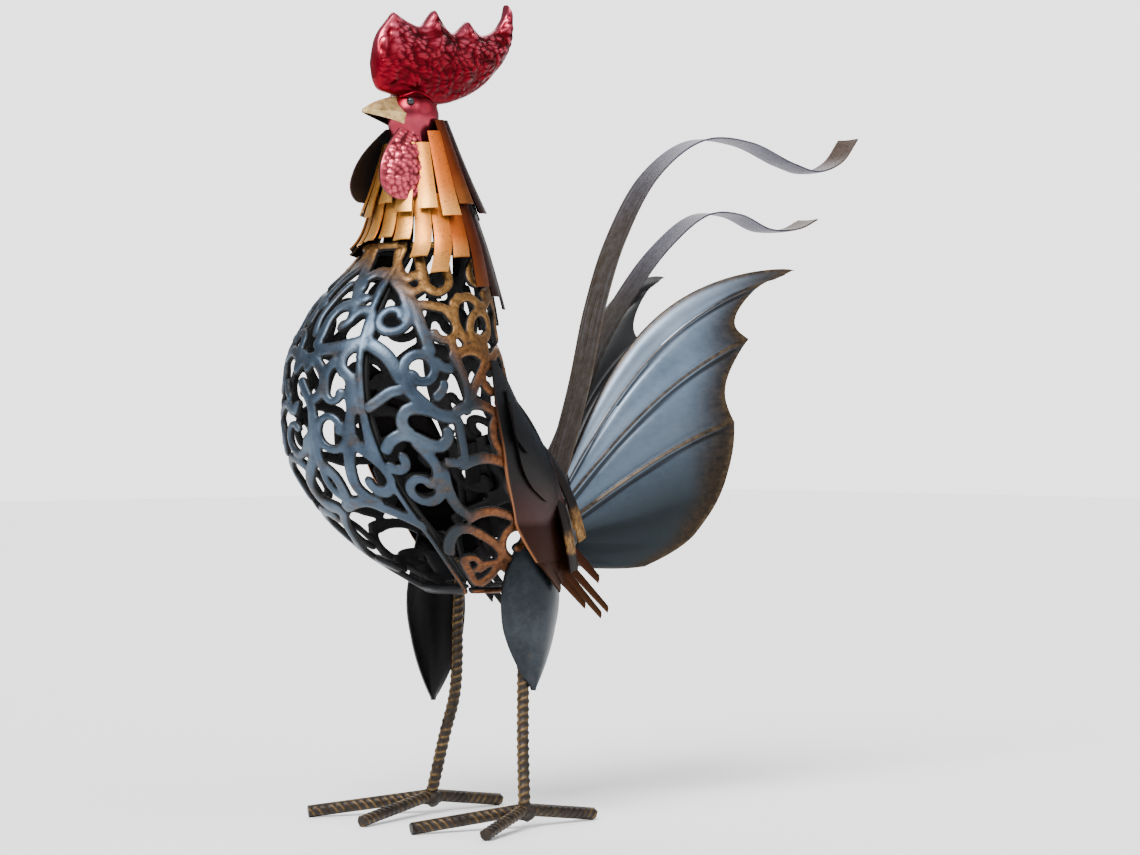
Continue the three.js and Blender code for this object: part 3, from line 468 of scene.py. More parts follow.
def section_row(step):
    """The section at one step of the height, worked out only once."""
    if step not in section_cache:
        level = step * TABLE_STEP
        keys = ("centre", "radius", "rear")
        section_cache[step] = [smooth_at(SECTIONS, key, level) for key in keys]
    return section_cache[step]


def section(z):
    step = round(z / TABLE_STEP)
    share = z / TABLE_STEP - step
    return [mix(a, b, share) for a, b in zip(section_row(step), section_row(step + 1))]


def body_face(angle, z):
    turn = math.radians(angle - DRAWING_TURN)
    centre, radius, rear = section(z)
    reach = rear if math.sin(turn) > 0 else radius
    return Vector((centre + reach * math.sin(turn), -radius * math.cos(turn), z))


def body_slopes(angle, z):
    """How fast the body's face moves with the angle, and how fast with the height."""
    step = 0.2
    around = (body_face(angle + step, z) - body_face(angle - step, z)) / math.radians(2 * step)
    up = (body_face(angle, z + 1) - body_face(angle, z - 1)) / 2
    return around, up


def body_point(angle, z, out):
    around, up = body_slopes(angle, z)
    return body_face(angle, z) + around.cross(up).normalized() * out


def flat_place(point):
    """Where a point of the drawing falls on the flat sheet."""
    across, z = point
    centre, radius, rear = section(z)
    shift = (centre - DRAWING_AXIS) * math.cos(math.radians(DRAWING_TURN))
    share = held((across - shift) / radius, -DRAWING_EDGE, DRAWING_EDGE)
    return Vector((FLAT_RADIUS * math.asin(share), z, 0))


def stretch_at(place):
    """How much longer the body is than the flat sheet, around and upwards."""
    around, up = body_slopes(math.degrees(place.x / FLAT_RADIUS), place.y)
    return around.length / FLAT_RADIUS, up.length

# %% Lines that bend evenly
def smooth_line(points, step):
    """A line through the points that bends evenly, with a point about every step."""
    points = [Vector(p) for p in points]
    spots = [points[0] * 2 - points[1], *points, points[-1] * 2 - points[-2]]
    line = []
    for a, b, c, d in zip(spots, spots[1:], spots[2:], spots[3:]):
        ab, bc, cd = ((q - p).length ** 0.5 + 1e-6 for p, q in ((a, b), (b, c), (c, d)))
        start = ((b - a) / ab - (c - a) / (ab + bc) + (c - b) / bc) * bc
        finish = ((c - b) / bc - (d - b) / (bc + cd) + (d - c) / cd) * bc
        count = max(1, math.ceil((c - b).length / step))
        line += [bent(b, c, start, finish, k / count) for k in range(count)]
    return [*line, points[-1]]


print("widest section:", max(row["radius"] for row in SECTIONS) * 2, "mm")

# %% [markdown]
# ## The scrollwork body
#
# The real body is two pressings from one die, welded up the front and the back. Each scroll is a
# rounded strand, thicker in the middle than at its edges, and the strands flow into each other
# where they meet. A strand starts as a grid closed into a tube along its drawn line. When a half
# is complete, a voxel remesh fuses all its strands into one skin, as the press did.

# %% The scrolls, as drawn from the front left
STRAND_WIDTH = 6.6
BAND_SPREAD = 1.13
STRAND_HALF_DEPTH = 1.9
STRAND_MIDDLE = -1.5
CURL_TAPER = 0.74
CURL_END = 0.3
CURL_END_LENGTH = 6
RIGHT_SCROLLS = [
    {"stem": [[1, 301], [7, 292], [10.5, 282]], "curl": [2, 278, 9, 3.5, 10, -400]},
    {"stem": [[10.5, 290], [15, 280], [19, 269], [24, 257]]},
    {"stem": [[21, 231], [13, 238]], "curl": [17.5, 250, 10, 3.5, 205, -400]},
    {"stem": [[8.5, 242.5], [18.5, 233], [27, 227], [37, 225]], "width": 7},
    {"stem": [[-13, 228.5], [-5, 234], [1.5, 238.5], [9, 240]], "width": 6},
    {"stem": [[33, 224], [24, 228.5], [16, 230], [10, 229], [7.5, 224], [10, 218], [15, 216]]},
    {"stem": [[-2, 205], [1.5, 212.5], [8, 216], [14.5, 214.5], [22, 211], [28, 210],
              [32, 214.5], [31, 221]]},
    {"stem": [[13, 214], [20, 207], [26, 198]], "curl": [18.5, 187.5, 9.5, 3.5, 25, -400]},
    {"stem": [[-4, 199], [-1, 197]], "curl": [5, 202, 5.5, 3, 215, 230]},
    {"stem": [[37, 226], [39.5, 211], [41, 199]], "width": 5.5},
    {"stem": [[29, 199], [31.5, 187], [36.5, 177], [44, 171]]},
    {"stem": [[29, 202], [35, 201], [41, 202]], "width": 5},
    {"stem": [[31, 150], [31, 157], [35, 164], [42, 165], [49, 160], [53, 150], [51, 139],
              [45, 132]]},
    {"stem": [[45, 132], [42, 138]], "curl": [43.5, 146, 5.5, 3, 195, -250]},
    {"stem": [[14, 286], [22, 285], [30, 283]], "curl": [29.5, 273, 8, 6, 60, -240], "width": 6},
    {"stem": [[37, 293], [34.5, 284], [36, 274], [42.5, 265]], "width": 6},
    {"stem": [[3, 318], [3, 308], [7, 301], [11.5, 300], [12.5, 305]], "width": 5.5},
    {"stem": [[1, 303], [7, 295.5], [13, 292.5], [18, 297], [16, 306], [12, 318]], "width": 6},
    {"stem": [[16, 300], [20, 295], [26, 292.5], [31, 297], [29, 306], [26, 318]], "width": 6},
    {"stem": [[24, 257], [29, 252], [35.5, 251]], "width": 5.5},
    {"stem": [[33, 268], [36, 257], [40, 247], [42, 237], [41.5, 226]], "width": 5.5},
    {"stem": [[42.5, 266], [47, 268], [51, 264], [50, 254], [46, 243], [42, 232]], "width": 5.5},
    {"stem": [[24, 234], [29.5, 241], [29.5, 246]], "width": 5.5},
]
LEFT_SCROLLS = [
    {"stem": [[0, 302], [-8, 303.5], [-15, 299]], "curl": [-13, 292.5, 6, 4, 140, 200]},
    {"stem": [[-41, 261.5], [-37, 269], [-33, 278]], "curl": [-25.5, 279.5, 7.5, 6, 150, -250]},
    {"stem": [[-12, 266], [-9.5, 273]], "curl": [-15, 278, 5.8, 5, -10, 200]},
    {"stem": [[-12, 266], [-21, 264], [-31, 262], [-41, 261]], "width": 7},
    {"stem": [[-12, 266], [0, 257], [9, 242]], "width": 7.5},
    {"stem": [[-16, 265], [-24, 258.5], [-25, 251.5], [-20.5, 246], [-19.5, 239], [-18, 232.5],
              [-12, 228]]},
    {"stem": [[-53, 249], [-47, 256], [-40, 255.5], [-35.5, 249], [-35, 242], [-38.5, 236.5],
              [-43, 234]]},
    {"stem": [[-49, 247], [-46, 240], [-42, 231], [-41, 221], [-39.5, 210], [-37, 201],
              [-29, 193], [-22.5, 181]]},
    {"stem": [[-53, 252], [-46, 258]], "curl": [-51, 266, 7, 5, -50, 240], "width": 6},
    {"stem": [[-57, 247], [-57, 240]], "curl": [-53, 233.5, 6, 4, 150, 230], "width": 6},
    {"stem": [[-41, 224], [-42.5, 216]], "curl": [-51.5, 215.5, 11, 4, -10, -330]},
    {"stem": [[-21, 240], [-19.5, 230]], "curl": [-31, 218.5, 11, 4.5, 0, -400]},
    {"stem": [[-26, 258], [-33, 250],
              [-34, 243]], "curl": [-29.5, 238.5, 5, 3.5, 180, 220], "width": 6},
    {"stem": [[-39.5, 206], [-43, 198], [-44, 188], [-39, 180.5], [-31, 176.5],
              [-25, 174]], "width": 7.5},
    {"stem": [[-37, 201], [-34, 191], [-29, 184.5], [-22.5, 181]], "width": 5},
    {"stem": [[-20, 212], [-20.5, 197.5], [-17.5, 188], [-10.5, 181.5],
              [-1.5, 177.5]], "width": 7.5},
    {"stem": [[-19.5, 217], [-15.5, 209.5], [-9, 204.5], [-2.5, 198.5], [1.5, 191],
              [-1.5, 185.5], [-8, 187.5],
              [-12, 194]]},
    {"stem": [[-26, 176], [-18.5, 179.5], [-12, 180], [-4, 177], [8, 172],
              [20, 165.5]], "width": 6},
    {"stem": [[-26, 176], [-26, 168], [-22, 159], [-14.5, 147.5], [-4, 138], [8, 132],
              [24, 129]], "width": 5},
    {"stem": [[-12, 312], [-26.5, 301], [-35, 291.5], [-42, 282], [-46, 274]], "width": 6},
    {"stem": [[-20, 300], [-30, 290], [-38, 279], [-41, 268]], "width": 4.5},
    {"stem": [[-17.5, 287], [-16.5, 300], [-11, 318]], "width": 6.5},
    {"stem": [[-25, 304], [-17, 312], [-14, 320]], "width": 7},
    {"stem": [[-7, 289], [-3, 300]], "width": 5},
    {"stem": [[-41, 261], [-43.5, 254], [-46, 249]], "width": 6},
    {"stem": [[-20, 224], [-20, 210]], "width": 7},
    {"stem": [[-42, 216], [-41, 204]], "width": 6},
    {"stem": [[-9, 204], [-11, 216], [-13, 228]], "width": 5},
]
print(len(RIGHT_SCROLLS) + len(LEFT_SCROLLS), "drawn scrolls")

# %% Lines on the flat sheet
CURL_STEP = 18
LINE_STEP = 1.6


def curl_places(centre, start, end, turn_from, sweep):
    around, up = stretch_at(centre)
    count = math.ceil(abs(sweep) / CURL_STEP)
    places = []
    for i in range(count + 1):
        share = i / count
        radius = mix(start, end, share ** 1.5)
        angle = math.radians(turn_from + sweep * share)
        places.append(centre + Vector((radius * math.cos(angle) / around, radius * math.sin(angle) / up, 0)))
    return places


def scroll_line(scroll):
    places = [flat_place(point) for point in scroll["stem"]]
    if "curl" in scroll:
        across, z, start, end, turn_from, sweep = scroll["curl"]
        places += curl_places(flat_place((across, z)), start, end, turn_from, sweep)
    return smooth_line(places, LINE_STEP)

# %% One rounded strand
SECTION_SIDES = 12
SECTION_SQUARE = 0.85


def rounded(value):
    """Fills a sine or cosine out a little, so that a strand's section is fuller than an oval."""
    return math.copysign(abs(value) ** SECTION_SQUARE, value)


def strand(shape, line, width, taper, turn, depth=STRAND_HALF_DEPTH):
    """A tube along a flat line, pressed onto the body. It closes to a round end both ways."""
    runs = [0.0]
    for a, b in zip(line, line[1:]):
        around, up = stretch_at(a)
        runs.append(runs[-1] + math.hypot((b.x - a.x) * around, (b.y - a.y) * up))
    last = len(line) - 1

    def rule(u, v):
        i = round(v * last)
        spot = line[i]
        before, after = line[max(i - 1, 0)], line[min(i + 1, last)]
        around, up = stretch_at(spot)
        heading = Vector(((after.x - before.x) * around, (after.y - before.y) * up)).normalized()
        half = width / 2 * mix(1, taper, v)
        if taper < 1:
            half *= 1 + CURL_END * held(1 - (runs[-1] - runs[i]) / CURL_END_LENGTH)
        to_end = min(runs[i], runs[-1] - runs[i])
        close = math.sqrt(1 - held(1 - to_end / half) ** 2)
        angle = 2 * math.pi * u
        side = rounded(math.cos(angle)) * half * close
        out = rounded(math.sin(angle)) * depth * close + STRAND_MIDDLE
        x = spot.x - heading.y * side / around
        z = spot.y + heading.x * side / up
        return body_point(math.degrees(x / FLAT_RADIUS) + turn, z, out)

    grid_on(shape, SECTION_SIDES, last, rule)

# %% The seam, the rims and the flank's waves and curls
SEAM = rows(
    "z angle",
    (120, 11), (153, 9), (180, 0), (207, -6), (235, -11.5), (289, -12.5), (325, -10),
)
SHELL_BOTTOM = 127
SHELL_TOP = 321
RIM_INSET = 2.3
RIM_WIDTH = 4.6
LOW_RIM_DEPTH = 2.0
SEAM_INSET = 2.0
LINE_POINTS = {"seam": 60, "rim": 90}
WAVES = {"from": 33, "to": 126, "first": 143, "pitch": 29, "count": 6, "rise": 2.5, "points": 7,
         "width": 6}
CURLS = {"angles": [62, 95], "r": 12.5, "end": 3.5, "sweep": 390, "width": 6}


def seam_at(z):
    return smooth_at(SEAM, "angle", z)


def seam_line(turn, inset):
    places = []
    for i in range(LINE_POINTS["seam"] + 1):
        z = mix(SHELL_BOTTOM + 1, SHELL_TOP - 1, i / LINE_POINTS["seam"])
        place = Vector((FLAT_RADIUS * math.radians(seam_at(z) + turn), z, 0))
        place.x += (inset if turn == 0 else -inset) / stretch_at(place)[0]
        places.append(place)
    return places


def rim_line(z):
    count = LINE_POINTS["rim"]
    angles = [seam_at(z) + 180 * i / count for i in range(count + 1)]
    return [Vector((FLAT_RADIUS * math.radians(angle), z, 0)) for angle in angles]


def flank(shape, turn):
    for i in range(WAVES["count"]):
        z = WAVES["first"] + i * WAVES["pitch"]
        places = []
        for k in range(WAVES["points"]):
            angle = mix(WAVES["from"], WAVES["to"], k / (WAVES["points"] - 1))
            rise = WAVES["rise"] if k % 2 else -WAVES["rise"]
            places.append(Vector((FLAT_RADIUS * math.radians(angle), z + rise, 0)))
        strand(shape, smooth_line(places, LINE_STEP), WAVES["width"] * BAND_SPREAD, 1, turn)
        for k, angle in enumerate(CURLS["angles"]):
            centre = Vector((FLAT_RADIUS * math.radians(angle), z + WAVES["pitch"] / 2, 0))
            way = 1 if (i + k) % 2 else -1
            line = curl_places(centre, CURLS["r"], CURLS["end"], -90, way * CURLS["sweep"])
            strand(shape, smooth_line(line, LINE_STEP), CURLS["width"] * BAND_SPREAD, 1, turn)


print("the seam leans from", SEAM[0]["angle"], "to", SEAM[-1]["angle"], "degrees")

# %% Both halves of the body
VOXEL = 0.8 / METRE
SMOOTHINGS = 2
HOLLOW_DEPTH = 2.4
HOLLOW_TO_PROUD = 2.6


def pressed(shape, name):
    """Fuses all the strands into one skin, as the press did, and smooths it."""
    joined_up(shape, 2 * SAME_PLACE)
    thing = object_from(shape, name)
    fuse = thing.modifiers.new("fuse", "REMESH")
    fuse.mode = "VOXEL"
    fuse.voxel_size = VOXEL
    worked_out = thing.evaluated_get(bpy.context.evaluated_depsgraph_get())
    fused = bpy.data.meshes.new_from_object(worked_out)
    bpy.data.objects.remove(thing)
    soft = new_shape()
    soft.from_mesh(fused)
    axes = {"use_axis_x": True, "use_axis_y": True, "use_axis_z": True}
    for _ in range(SMOOTHINGS):
        bmesh.ops.smooth_vert(soft, verts=soft.verts[:], factor=0.5, **axes)
    return soft


def body_half(name, turn, material):
    shape = new_shape()
    drawn = [(scroll, 0) for scroll in RIGHT_SCROLLS] + [(scroll, 180) for scroll in LEFT_SCROLLS]
    for scroll, step in drawn:
        across = Vector((FLAT_RADIUS * math.radians(step), 0, 0))
        line = [place + across for place in scroll_line(scroll)]
        taper = CURL_TAPER if "curl" in scroll else 1
        strand(shape, line, scroll.get("width", STRAND_WIDTH) * BAND_SPREAD, taper, turn)
    flank(shape, turn)
    strand(shape, seam_line(180, SEAM_INSET), RIM_WIDTH, 1, turn)
    strand(shape, rim_line(SHELL_BOTTOM + RIM_INSET), RIM_WIDTH, 1, turn, LOW_RIM_DEPTH)
    strand(shape, rim_line(SHELL_TOP - RIM_INSET), RIM_WIDTH, 1, turn)
    skin = pressed(shape, name)
    raised = skin.verts.layers.float["raised"]
    for vert in skin.verts:
        spot = vert.co * METRE - SHIFT
        centre, radius, rear = section(spot.z)
        reach = rear if spot.x > centre else radius
        out = (math.hypot((spot.x - centre) / reach, spot.y / radius) - 1) * radius
        vert[raised] = held((out + HOLLOW_DEPTH) / HOLLOW_TO_PROUD)
        vert.co = spot
    piece_from(skin, name, material, crease=80, tidy=False)

# %% [markdown]
# ## The body's finish
#
# The pressings are lacquered blue-grey and dry brushed: gold under the neck, copper towards the
# wings and brown patches everywhere. The steel turns darker grey towards the rump and the belly,
# partly the paint and partly painted shade. The mark 'raised' finds the hollows between the
# strands, and these get near-black painted shade. Inside, the sheet is painted nearly black as
# painted shade too.

# %% Patinated scrollwork
BLUE_STEEL = [(0.3, (0.020, 0.030, 0.046)), (0.5, (0.055, 0.080, 0.115)), (0.7, (0.115, 0.150, 0.195))]
SCROLL_BROWN = [(0.3, (0.02, 0.013, 0.008)), (0.7, (0.11, 0.075, 0.045))]
SCROLL_GOLD = [(0.3, (0.10, 0.045, 0.010)), (0.7, (0.40, 0.20, 0.06))]
SCROLL_COPPER = [(0.3, (0.045, 0.014, 0.004)), (0.7, (0.22, 0.078, 0.024))]
# Darker greys towards the rump and the belly: partly the paint, partly painted shade.
RUMP_GREY_AND_SHADE = (0.016, 0.019, 0.021)
BELLY_GREY_AND_SHADE = (0.024, 0.026, 0.028)
# Near-black painted shade, for hollows and for the sides of sheet that face inwards.
SHADE_BLACK = (0.003, 0.003, 0.003)
BLUE_SHADE_BLACK = (0.003, 0.003, 0.004)
WARM_SHADE_BLACK = (0.004, 0.003, 0.003)
WARM_EDGE = {"x": -48, "slant": 0.43, "from": 215, "over": 85}


def scroll_finish():
    finish = Finish("scroll_steel")
    x, z = finish.x, finish.z
    patches = finish.speckle(38, 4, 0.6)
    grain = finish.speckle(420, 4, 0.7)
    proud = finish.mark("raised").ramp(0.55, 0.97)
    rub = finish.speckle(60, 5, 0.65, (1, 1, 2)).ramp(0.52, 0.66)
    # rump and belly darken the steel, partly as paint and partly as painted shade; belly also adds brown
    # rubbing low down.
    rump = (x + 60 * (patches - 0.5)).ramp(-100, -45)
    belly = (200 - z).ramp(0, 60)
    steel = paint_mix(rump * 0.9, coloured(patches, BLUE_STEEL), RUMP_GREY_AND_SHADE)
    steel = paint_mix(belly * 0.45, steel, BELLY_GREY_AND_SHADE)
    base = paint_mix(rub * (0.5 + 0.35 * belly), steel, coloured(grain, SCROLL_BROWN))
    climb = (z - WARM_EDGE["from"]).ramp(0, WARM_EDGE["over"]) * WARM_EDGE["over"]
    warm_edge = WARM_EDGE["x"] - WARM_EDGE["slant"] * climb
    warm = (x - warm_edge + 14 * (patches - 0.5)).ramp(-6, 12)
    gold, copper = coloured(grain, SCROLL_GOLD), coloured(grain, SCROLL_COPPER)
    base = paint_mix(warm * 0.92, base, paint_mix(z.ramp(238, 285), copper, gold))
    # Inward faces, and the hollows that 'raised' finds, get the near-black painted shade.
    outside = finish.outward(-55).ramp(-0.15, 0.2)
    base = paint_mix(outside, BLUE_SHADE_BLACK, paint_mix(proud, SHADE_BLACK, base))
    roughness = 0.52 - 0.16 * proud + 0.14 * grain
    fine = grain * 0.5 + finish.speckle(900, 2)
    return finish.coat(base, 0.5 + 0.4 * proud * outside, roughness, fine, 0.25)


scroll_steel = scroll_finish()
for side, turn in (("left", 0), ("right", 180)):
    body_half("body_shell_" + side, turn, scroll_steel)

# %% The rod behind the seam
def round_rod(shape, line, radius, sides, rib=None):
    """A rod along a line of points, with flat cut ends. rib(angle, run) may make it thicker."""
    upright = abs((line[1] - line[0]).normalized().z) >= 0.9
    side_way = Vector((1, 0, 0)) if upright else Vector((0, 0, 1))
    frames, runs = [], [0.0]
    for i, spot in enumerate(line):
        heading = (line[min(i + 1, len(line) - 1)] - line[max(i - 1, 0)]).normalized()
        side_way = (side_way - heading * side_way.dot(heading)).normalized()
        frames.append((side_way, heading.cross(side_way)))
        if i:
            runs.append(runs[-1] + (spot - line[i - 1]).length)
    last = len(line) - 1

    def rule(u, v):
        i = round(v * last)
        angle = 2 * math.pi * u
        proud = rib(angle, runs[i]) if rib else 0.0
        a, b = frames[i]
        reach = radius + proud
        return line[i] + a * (reach * math.cos(angle)) + b * (reach * math.sin(angle)), proud

    made = grid_on(shape, sides, last, rule)
    bmesh.ops.remove_doubles(shape, verts=made, dist=SAME_PLACE)
    open_edges = [edge for edge in shape.edges if edge.is_boundary]
    bmesh.ops.holes_fill(shape, edges=open_edges, sides=0)


WELD_LUMPS = 1.7
WELD_ROUGH = 0.28


def weld_blob(shape, place, size, seed):
    """A lump of weld: a ball with an uneven skin."""
    ball = new_shape()
    bmesh.ops.create_icosphere(ball, subdivisions=3, radius=1)
    for vert in ball.verts:
        rough = noise.noise(vert.co * WELD_LUMPS + Vector((seed, 0, 0)))
        ball_point = Vector(c * s for c, s in zip(vert.co, size))
        vert.co = Vector(place) + ball_point * (1 + WELD_ROUGH * rough)
    pour(ball, shape)


SEAM_ROD = {"heights": (316, 290, 262, 235, 207, 180, 153, 132), "inside": 5.7, "radius": 2.0, "step": 4}
rod_shape = new_shape()
rod_points = [body_point(seam_at(z), z, -SEAM_ROD["inside"]) for z in SEAM_ROD["heights"]]
round_rod(rod_shape, smooth_line(rod_points, SEAM_ROD["step"]), SEAM_ROD["radius"], 12)
piece_from(rod_shape, "seam_rod", scroll_steel)

# %% [markdown]
# ## Red lacquer
#
# Comb, head and wattles are bright sheet under a clear crimson lacquer. Their pink highlights are
# partly a painted highlight, and their nearly black hollows are dark airbrush deepened with
# painted shade. The comb and wattles were hammered from inside over a soft block, which raised
# rows of round bumps. The bumps are real relief here, because they show on the outline and catch
# the light.

# %% The red finishes
RED_HOLLOW = (0.07, 0.0007, 0.004)
RED_PROUD = (0.27, 0.004, 0.016)
RED_WORN = (0.40, 0.02, 0.045)
# A painted pink highlight for the comb's upper bumps, then a painted shade for its low and rear part.
RED_CROWN_HIGHLIGHT = (0.62, 0.12, 0.18)
RED_SHADE = (0.06, 0.0006, 0.003)
# A painted pink highlight for the head's lower part, round the cheek.
RED_CHEEK_HIGHLIGHT = (0.62, 0.10, 0.15)


def red_finish(name, hammered):
    finish = Finish(name)
    worn = finish.speckle(90, 4, 0.6)
    proud = finish.mark("raised")
    # On the comb the creases between bumps are darker: dark airbrush deepened as painted shade. On the head
    # the two reds are spread at random.
    deep = proud.ramp(0.1, 0.9) if hammered else worn.ramp(0.3, 0.7)
    base = paint_mix(deep, RED_HOLLOW, RED_PROUD)
    base = paint_mix(worn.ramp(0.55, 0.8) * 0.4, base, RED_WORN)
    if hammered:
        # A painted pink highlight on the comb's upper bumps, and painted shade low down and towards the
        # rear.
        crown = proud.ramp(0.3, 0.9) * finish.z.ramp(416, 438)
        shade = finish.x.ramp(-66, -35) * 0.3 + finish.z.ramp(432, 404) * 0.4
        base = paint_mix(shade, paint_mix(crown * 0.55, base, RED_CROWN_HIGHLIGHT), RED_SHADE)
    else:
        # The head's lower part, round the cheek, gets a painted pink highlight.
        base = paint_mix(finish.z.ramp(402, 386) * 0.36, base, RED_CHEEK_HIGHLIGHT)
    fine = finish.speckle(260, 3)
    return finish.coat(base, 0.95, 0.24 + 0.14 * worn, fine, 0.12, 0.0006)


comb_red = red_finish("comb_red", True)
head_red = red_finish("head_red", False)

# %% Hammered bumps
BUMP_WANDER = 8


def knobs(place, size, warp=0.7):
    """Rounded bumps about 'size' apart: 1 on a bump's crown, falling to 0 in the creases."""
    wander = noise.noise_vector(place / BUMP_WANDER) * warp
    distances = noise.voronoi(Vector(c / s for c, s in zip(place, size)) + wander)[0]
    crown = 1 - held(distances[0] * 1.1) ** 2
    crease = held((distances[1] - distances[0]) * 2.2) ** 0.7
    return crown * mix(0.45, 1, crease)

# %% The comb's outline
COMB = rows(
    "top low peak",
    ((-75, 420.5), (-74, 409), False), ((-72, 433.5), (-71, 403.5), False),
    ((-61.5, 446.5), (-60.5, 401.4), True), ((-51, 442), (-50, 399.5), False),
    ((-42, 441), (-42, 398), False), ((-33, 450.5), (-33, 398), True),
    ((-26, 442), (-24, 399.5), False), ((-19, 439), (-15, 402.5), False),
    ((-9, 446.5), (-7, 406), True), ((-3, 440.5), (2, 411.5), False),
    ((4, 440), (10, 419), False), ((12, 444), (17, 426.5), False),
    ((18, 452), (21.5, 436), False), ((19.5, 458.5), (23, 449), False),
)
COMB_HALF = 10.5
COMB_EDGE = 1.1
COMB_FRONT_LENGTH = 0.09
PEAK_STEEP = 1.5
print(sum(row["peak"] for row in COMB), "spikes and the swept tip")


def comb_edge(key, u):
    """A point on the top or bottom edge. The top comes to a point at each spike."""
    place = held(u) * (len(COMB) - 1)
    i = min(int(place), len(COMB) - 2)
    t = place - i
    a, b = Vector(COMB[i][key]), Vector(COMB[i + 1][key])
    before = Vector(COMB[max(i - 1, 0)][key])
    after = Vector(COMB[min(i + 2, len(COMB) - 1)][key])
    start = (b - before) / 2
    finish = (after - a) / 2
    if key == "top" and COMB[i]["peak"]:
        start = (b - a) * PEAK_STEEP
    if key == "top" and COMB[i + 1]["peak"]:
        finish = (b - a) * PEAK_STEEP
    return bent(a, b, start, finish, t)


def comb_half_width(u, v):
    round_off = math.sin(math.pi * held(v, 0.0, 1.0)) ** 0.6
    ends = math.sin(math.pi * held(0.05 + 0.9 * u)) ** 0.6
    front = math.sqrt(1 - (1 - held(u / COMB_FRONT_LENGTH)) ** 2)
    return COMB_EDGE + (COMB_HALF - COMB_EDGE) * round_off * ends * mix(0.15, 1, front)

# %% Both sides of the comb, with their bumps
COMB_GRID = (150, 80)
COMB_KNOB = (4.9, 4.4, 3.9)
COMB_CREASE = 1.5
COMB_LUMP = {"size": 15, "height": 0.9, "share": 0.5}


def comb_rule(side, u, v):
    flat = mix(comb_edge("low", u), comb_edge("top", u), v)
    rim = held(min(v, 1 - v) * 9) * held(min(u, 1 - u) * 14)
    place = Vector((flat.x, side * comb_half_width(u, v), flat.y))
    knob = knobs(place, COMB_KNOB)
    lump = noise.noise(place / COMB_LUMP["size"]) * COMB_LUMP["height"]
    rough = mix(0.4, 1, held(u * 6)) * rim
    inward = (COMB_CREASE * (1 - knob) - COMB_LUMP["share"] * lump) * rough
    return place - Vector((0, side * inward, 0)), mix(1, knob, rough)


comb_shape = new_shape()
for side in SIDES.values():
    grid_on(comb_shape, *COMB_GRID, lambda u, v: comb_rule(side, u, v))
bridged(comb_shape)
piece_from(comb_shape, "comb", comb_red, crease=60)

# %% [markdown]
# ## The head
#
# The head is a smooth hollow shell in the same red. It starts as a ball cut open below. Under the
# cheek it is drawn in to a short skirt, its cheek is pushed out to a shallow disc, and it gets its
# wall. A raised line of weld runs where the comb is let into it. The eyes are small dark beads.

# %% The head's shell
HEAD = {"x": -47.5, "z": 391, "length": 15, "width": 13.5, "height": 14.5, "wall": 1.5, "open": -48}
SKIRT = {"from": -0.3, "share": 0.84, "low": -1.12}
CHEEK = {"x": -46.5, "z": 391.5, "reach": 9.5, "rise": 1.1}
EYE = {"x": -56.6, "y": 9.3, "z": 397.4, "radius": 2.2}
WELT_POINTS = [(-59.5, 4, 400.2), (-57, 8, 401.2), (-53, 10.4, 402.8), (-45, 11.3, 400.3),
               (-38.5, 9.5, 396.5)]
WELT_RADIUS = 0.7


def skirted(unit, rim):
    """Draws the ball's low part in towards its rim."""
    down = held((SKIRT["from"] - unit.z) / (SKIRT["from"] - rim))
    if down == 0:
        return unit
    level = math.hypot(unit.x, unit.y)
    wanted = mix(math.sqrt(1 - SKIRT["from"] ** 2), SKIRT["share"], down)
    z = mix(SKIRT["from"], SKIRT["low"], down)
    return Vector((unit.x * wanted / level, unit.y * wanted / level, z))


def head_place(unit):
    x = HEAD["x"] + unit.x * HEAD["length"]
    z = HEAD["z"] + unit.z * HEAD["height"]
    place = Vector((x, unit.y * HEAD["width"], z))
    away = math.hypot(place.x - CHEEK["x"], place.z - CHEEK["z"]) / CHEEK["reach"]
    rise = CHEEK["rise"] * held((1.0 - away) * 3)
    place.y += math.copysign(rise, unit.y) * held(abs(unit.y) * 3)
    return place


head_shape = new_shape()
bmesh.ops.create_uvsphere(head_shape, u_segments=64, v_segments=48, radius=1)
low_rim = math.sin(math.radians(HEAD["open"]))
bmesh.ops.bisect_plane(
    head_shape, geom=head_shape.verts[:] + head_shape.edges[:] + head_shape.faces[:],
    plane_co=(0, 0, low_rim), plane_no=(0, 0, -1), clear_outer=True,
)
for vert in head_shape.verts:
    vert.co = head_place(skirted(vert.co.copy(), low_rim))
walled(head_shape, HEAD["wall"])
for side in SIDES.values():
    line = smooth_line([Vector((x, side * y, z)) for x, y, z in WELT_POINTS], 1)
    round_rod(head_shape, line, WELT_RADIUS, 10)
piece_from(head_shape, "head", head_red)

# %% The eyes
EYE_DARKS = [(0.2, (0.003, 0.004, 0.006)), (0.9, (0.02, 0.025, 0.03))]


def eye_finish():
    finish = Finish("eye_glass")
    finish.set("Base Color", coloured(finish.cells(700), EYE_DARKS))
    finish.set("Roughness", 0.22)
    return finish.material


eye_glass = eye_finish()
for name, side in SIDES.items():
    eye_shape = new_shape()
    bmesh.ops.create_uvsphere(eye_shape, u_segments=24, v_segments=16, radius=EYE["radius"])
    for vert in eye_shape.verts:
        vert.co += Vector((EYE["x"], side * EYE["y"], EYE["z"]))
    piece_from(eye_shape, "eye_" + name, eye_glass)

# %% [markdown]
# ## The beak
#
# The beak is one sheet folded over a ridge, dull gold outside and painted near-black beneath as
# painted shade. Each side has two planes, a steep low one and a flatter one up to the ridge, and
# all are drawn to a point. The folds are kept crisp, because the real ones catch a line of light.

# %% Folded beak
BEAK = {"tip": (-82.5, 391.5), "base": -57, "top": 401, "bottom": 384, "width": 9, "wall": 1}
BEAK_CORNER = (1.0, 0.36)
BEAK_FOOT = 0.8


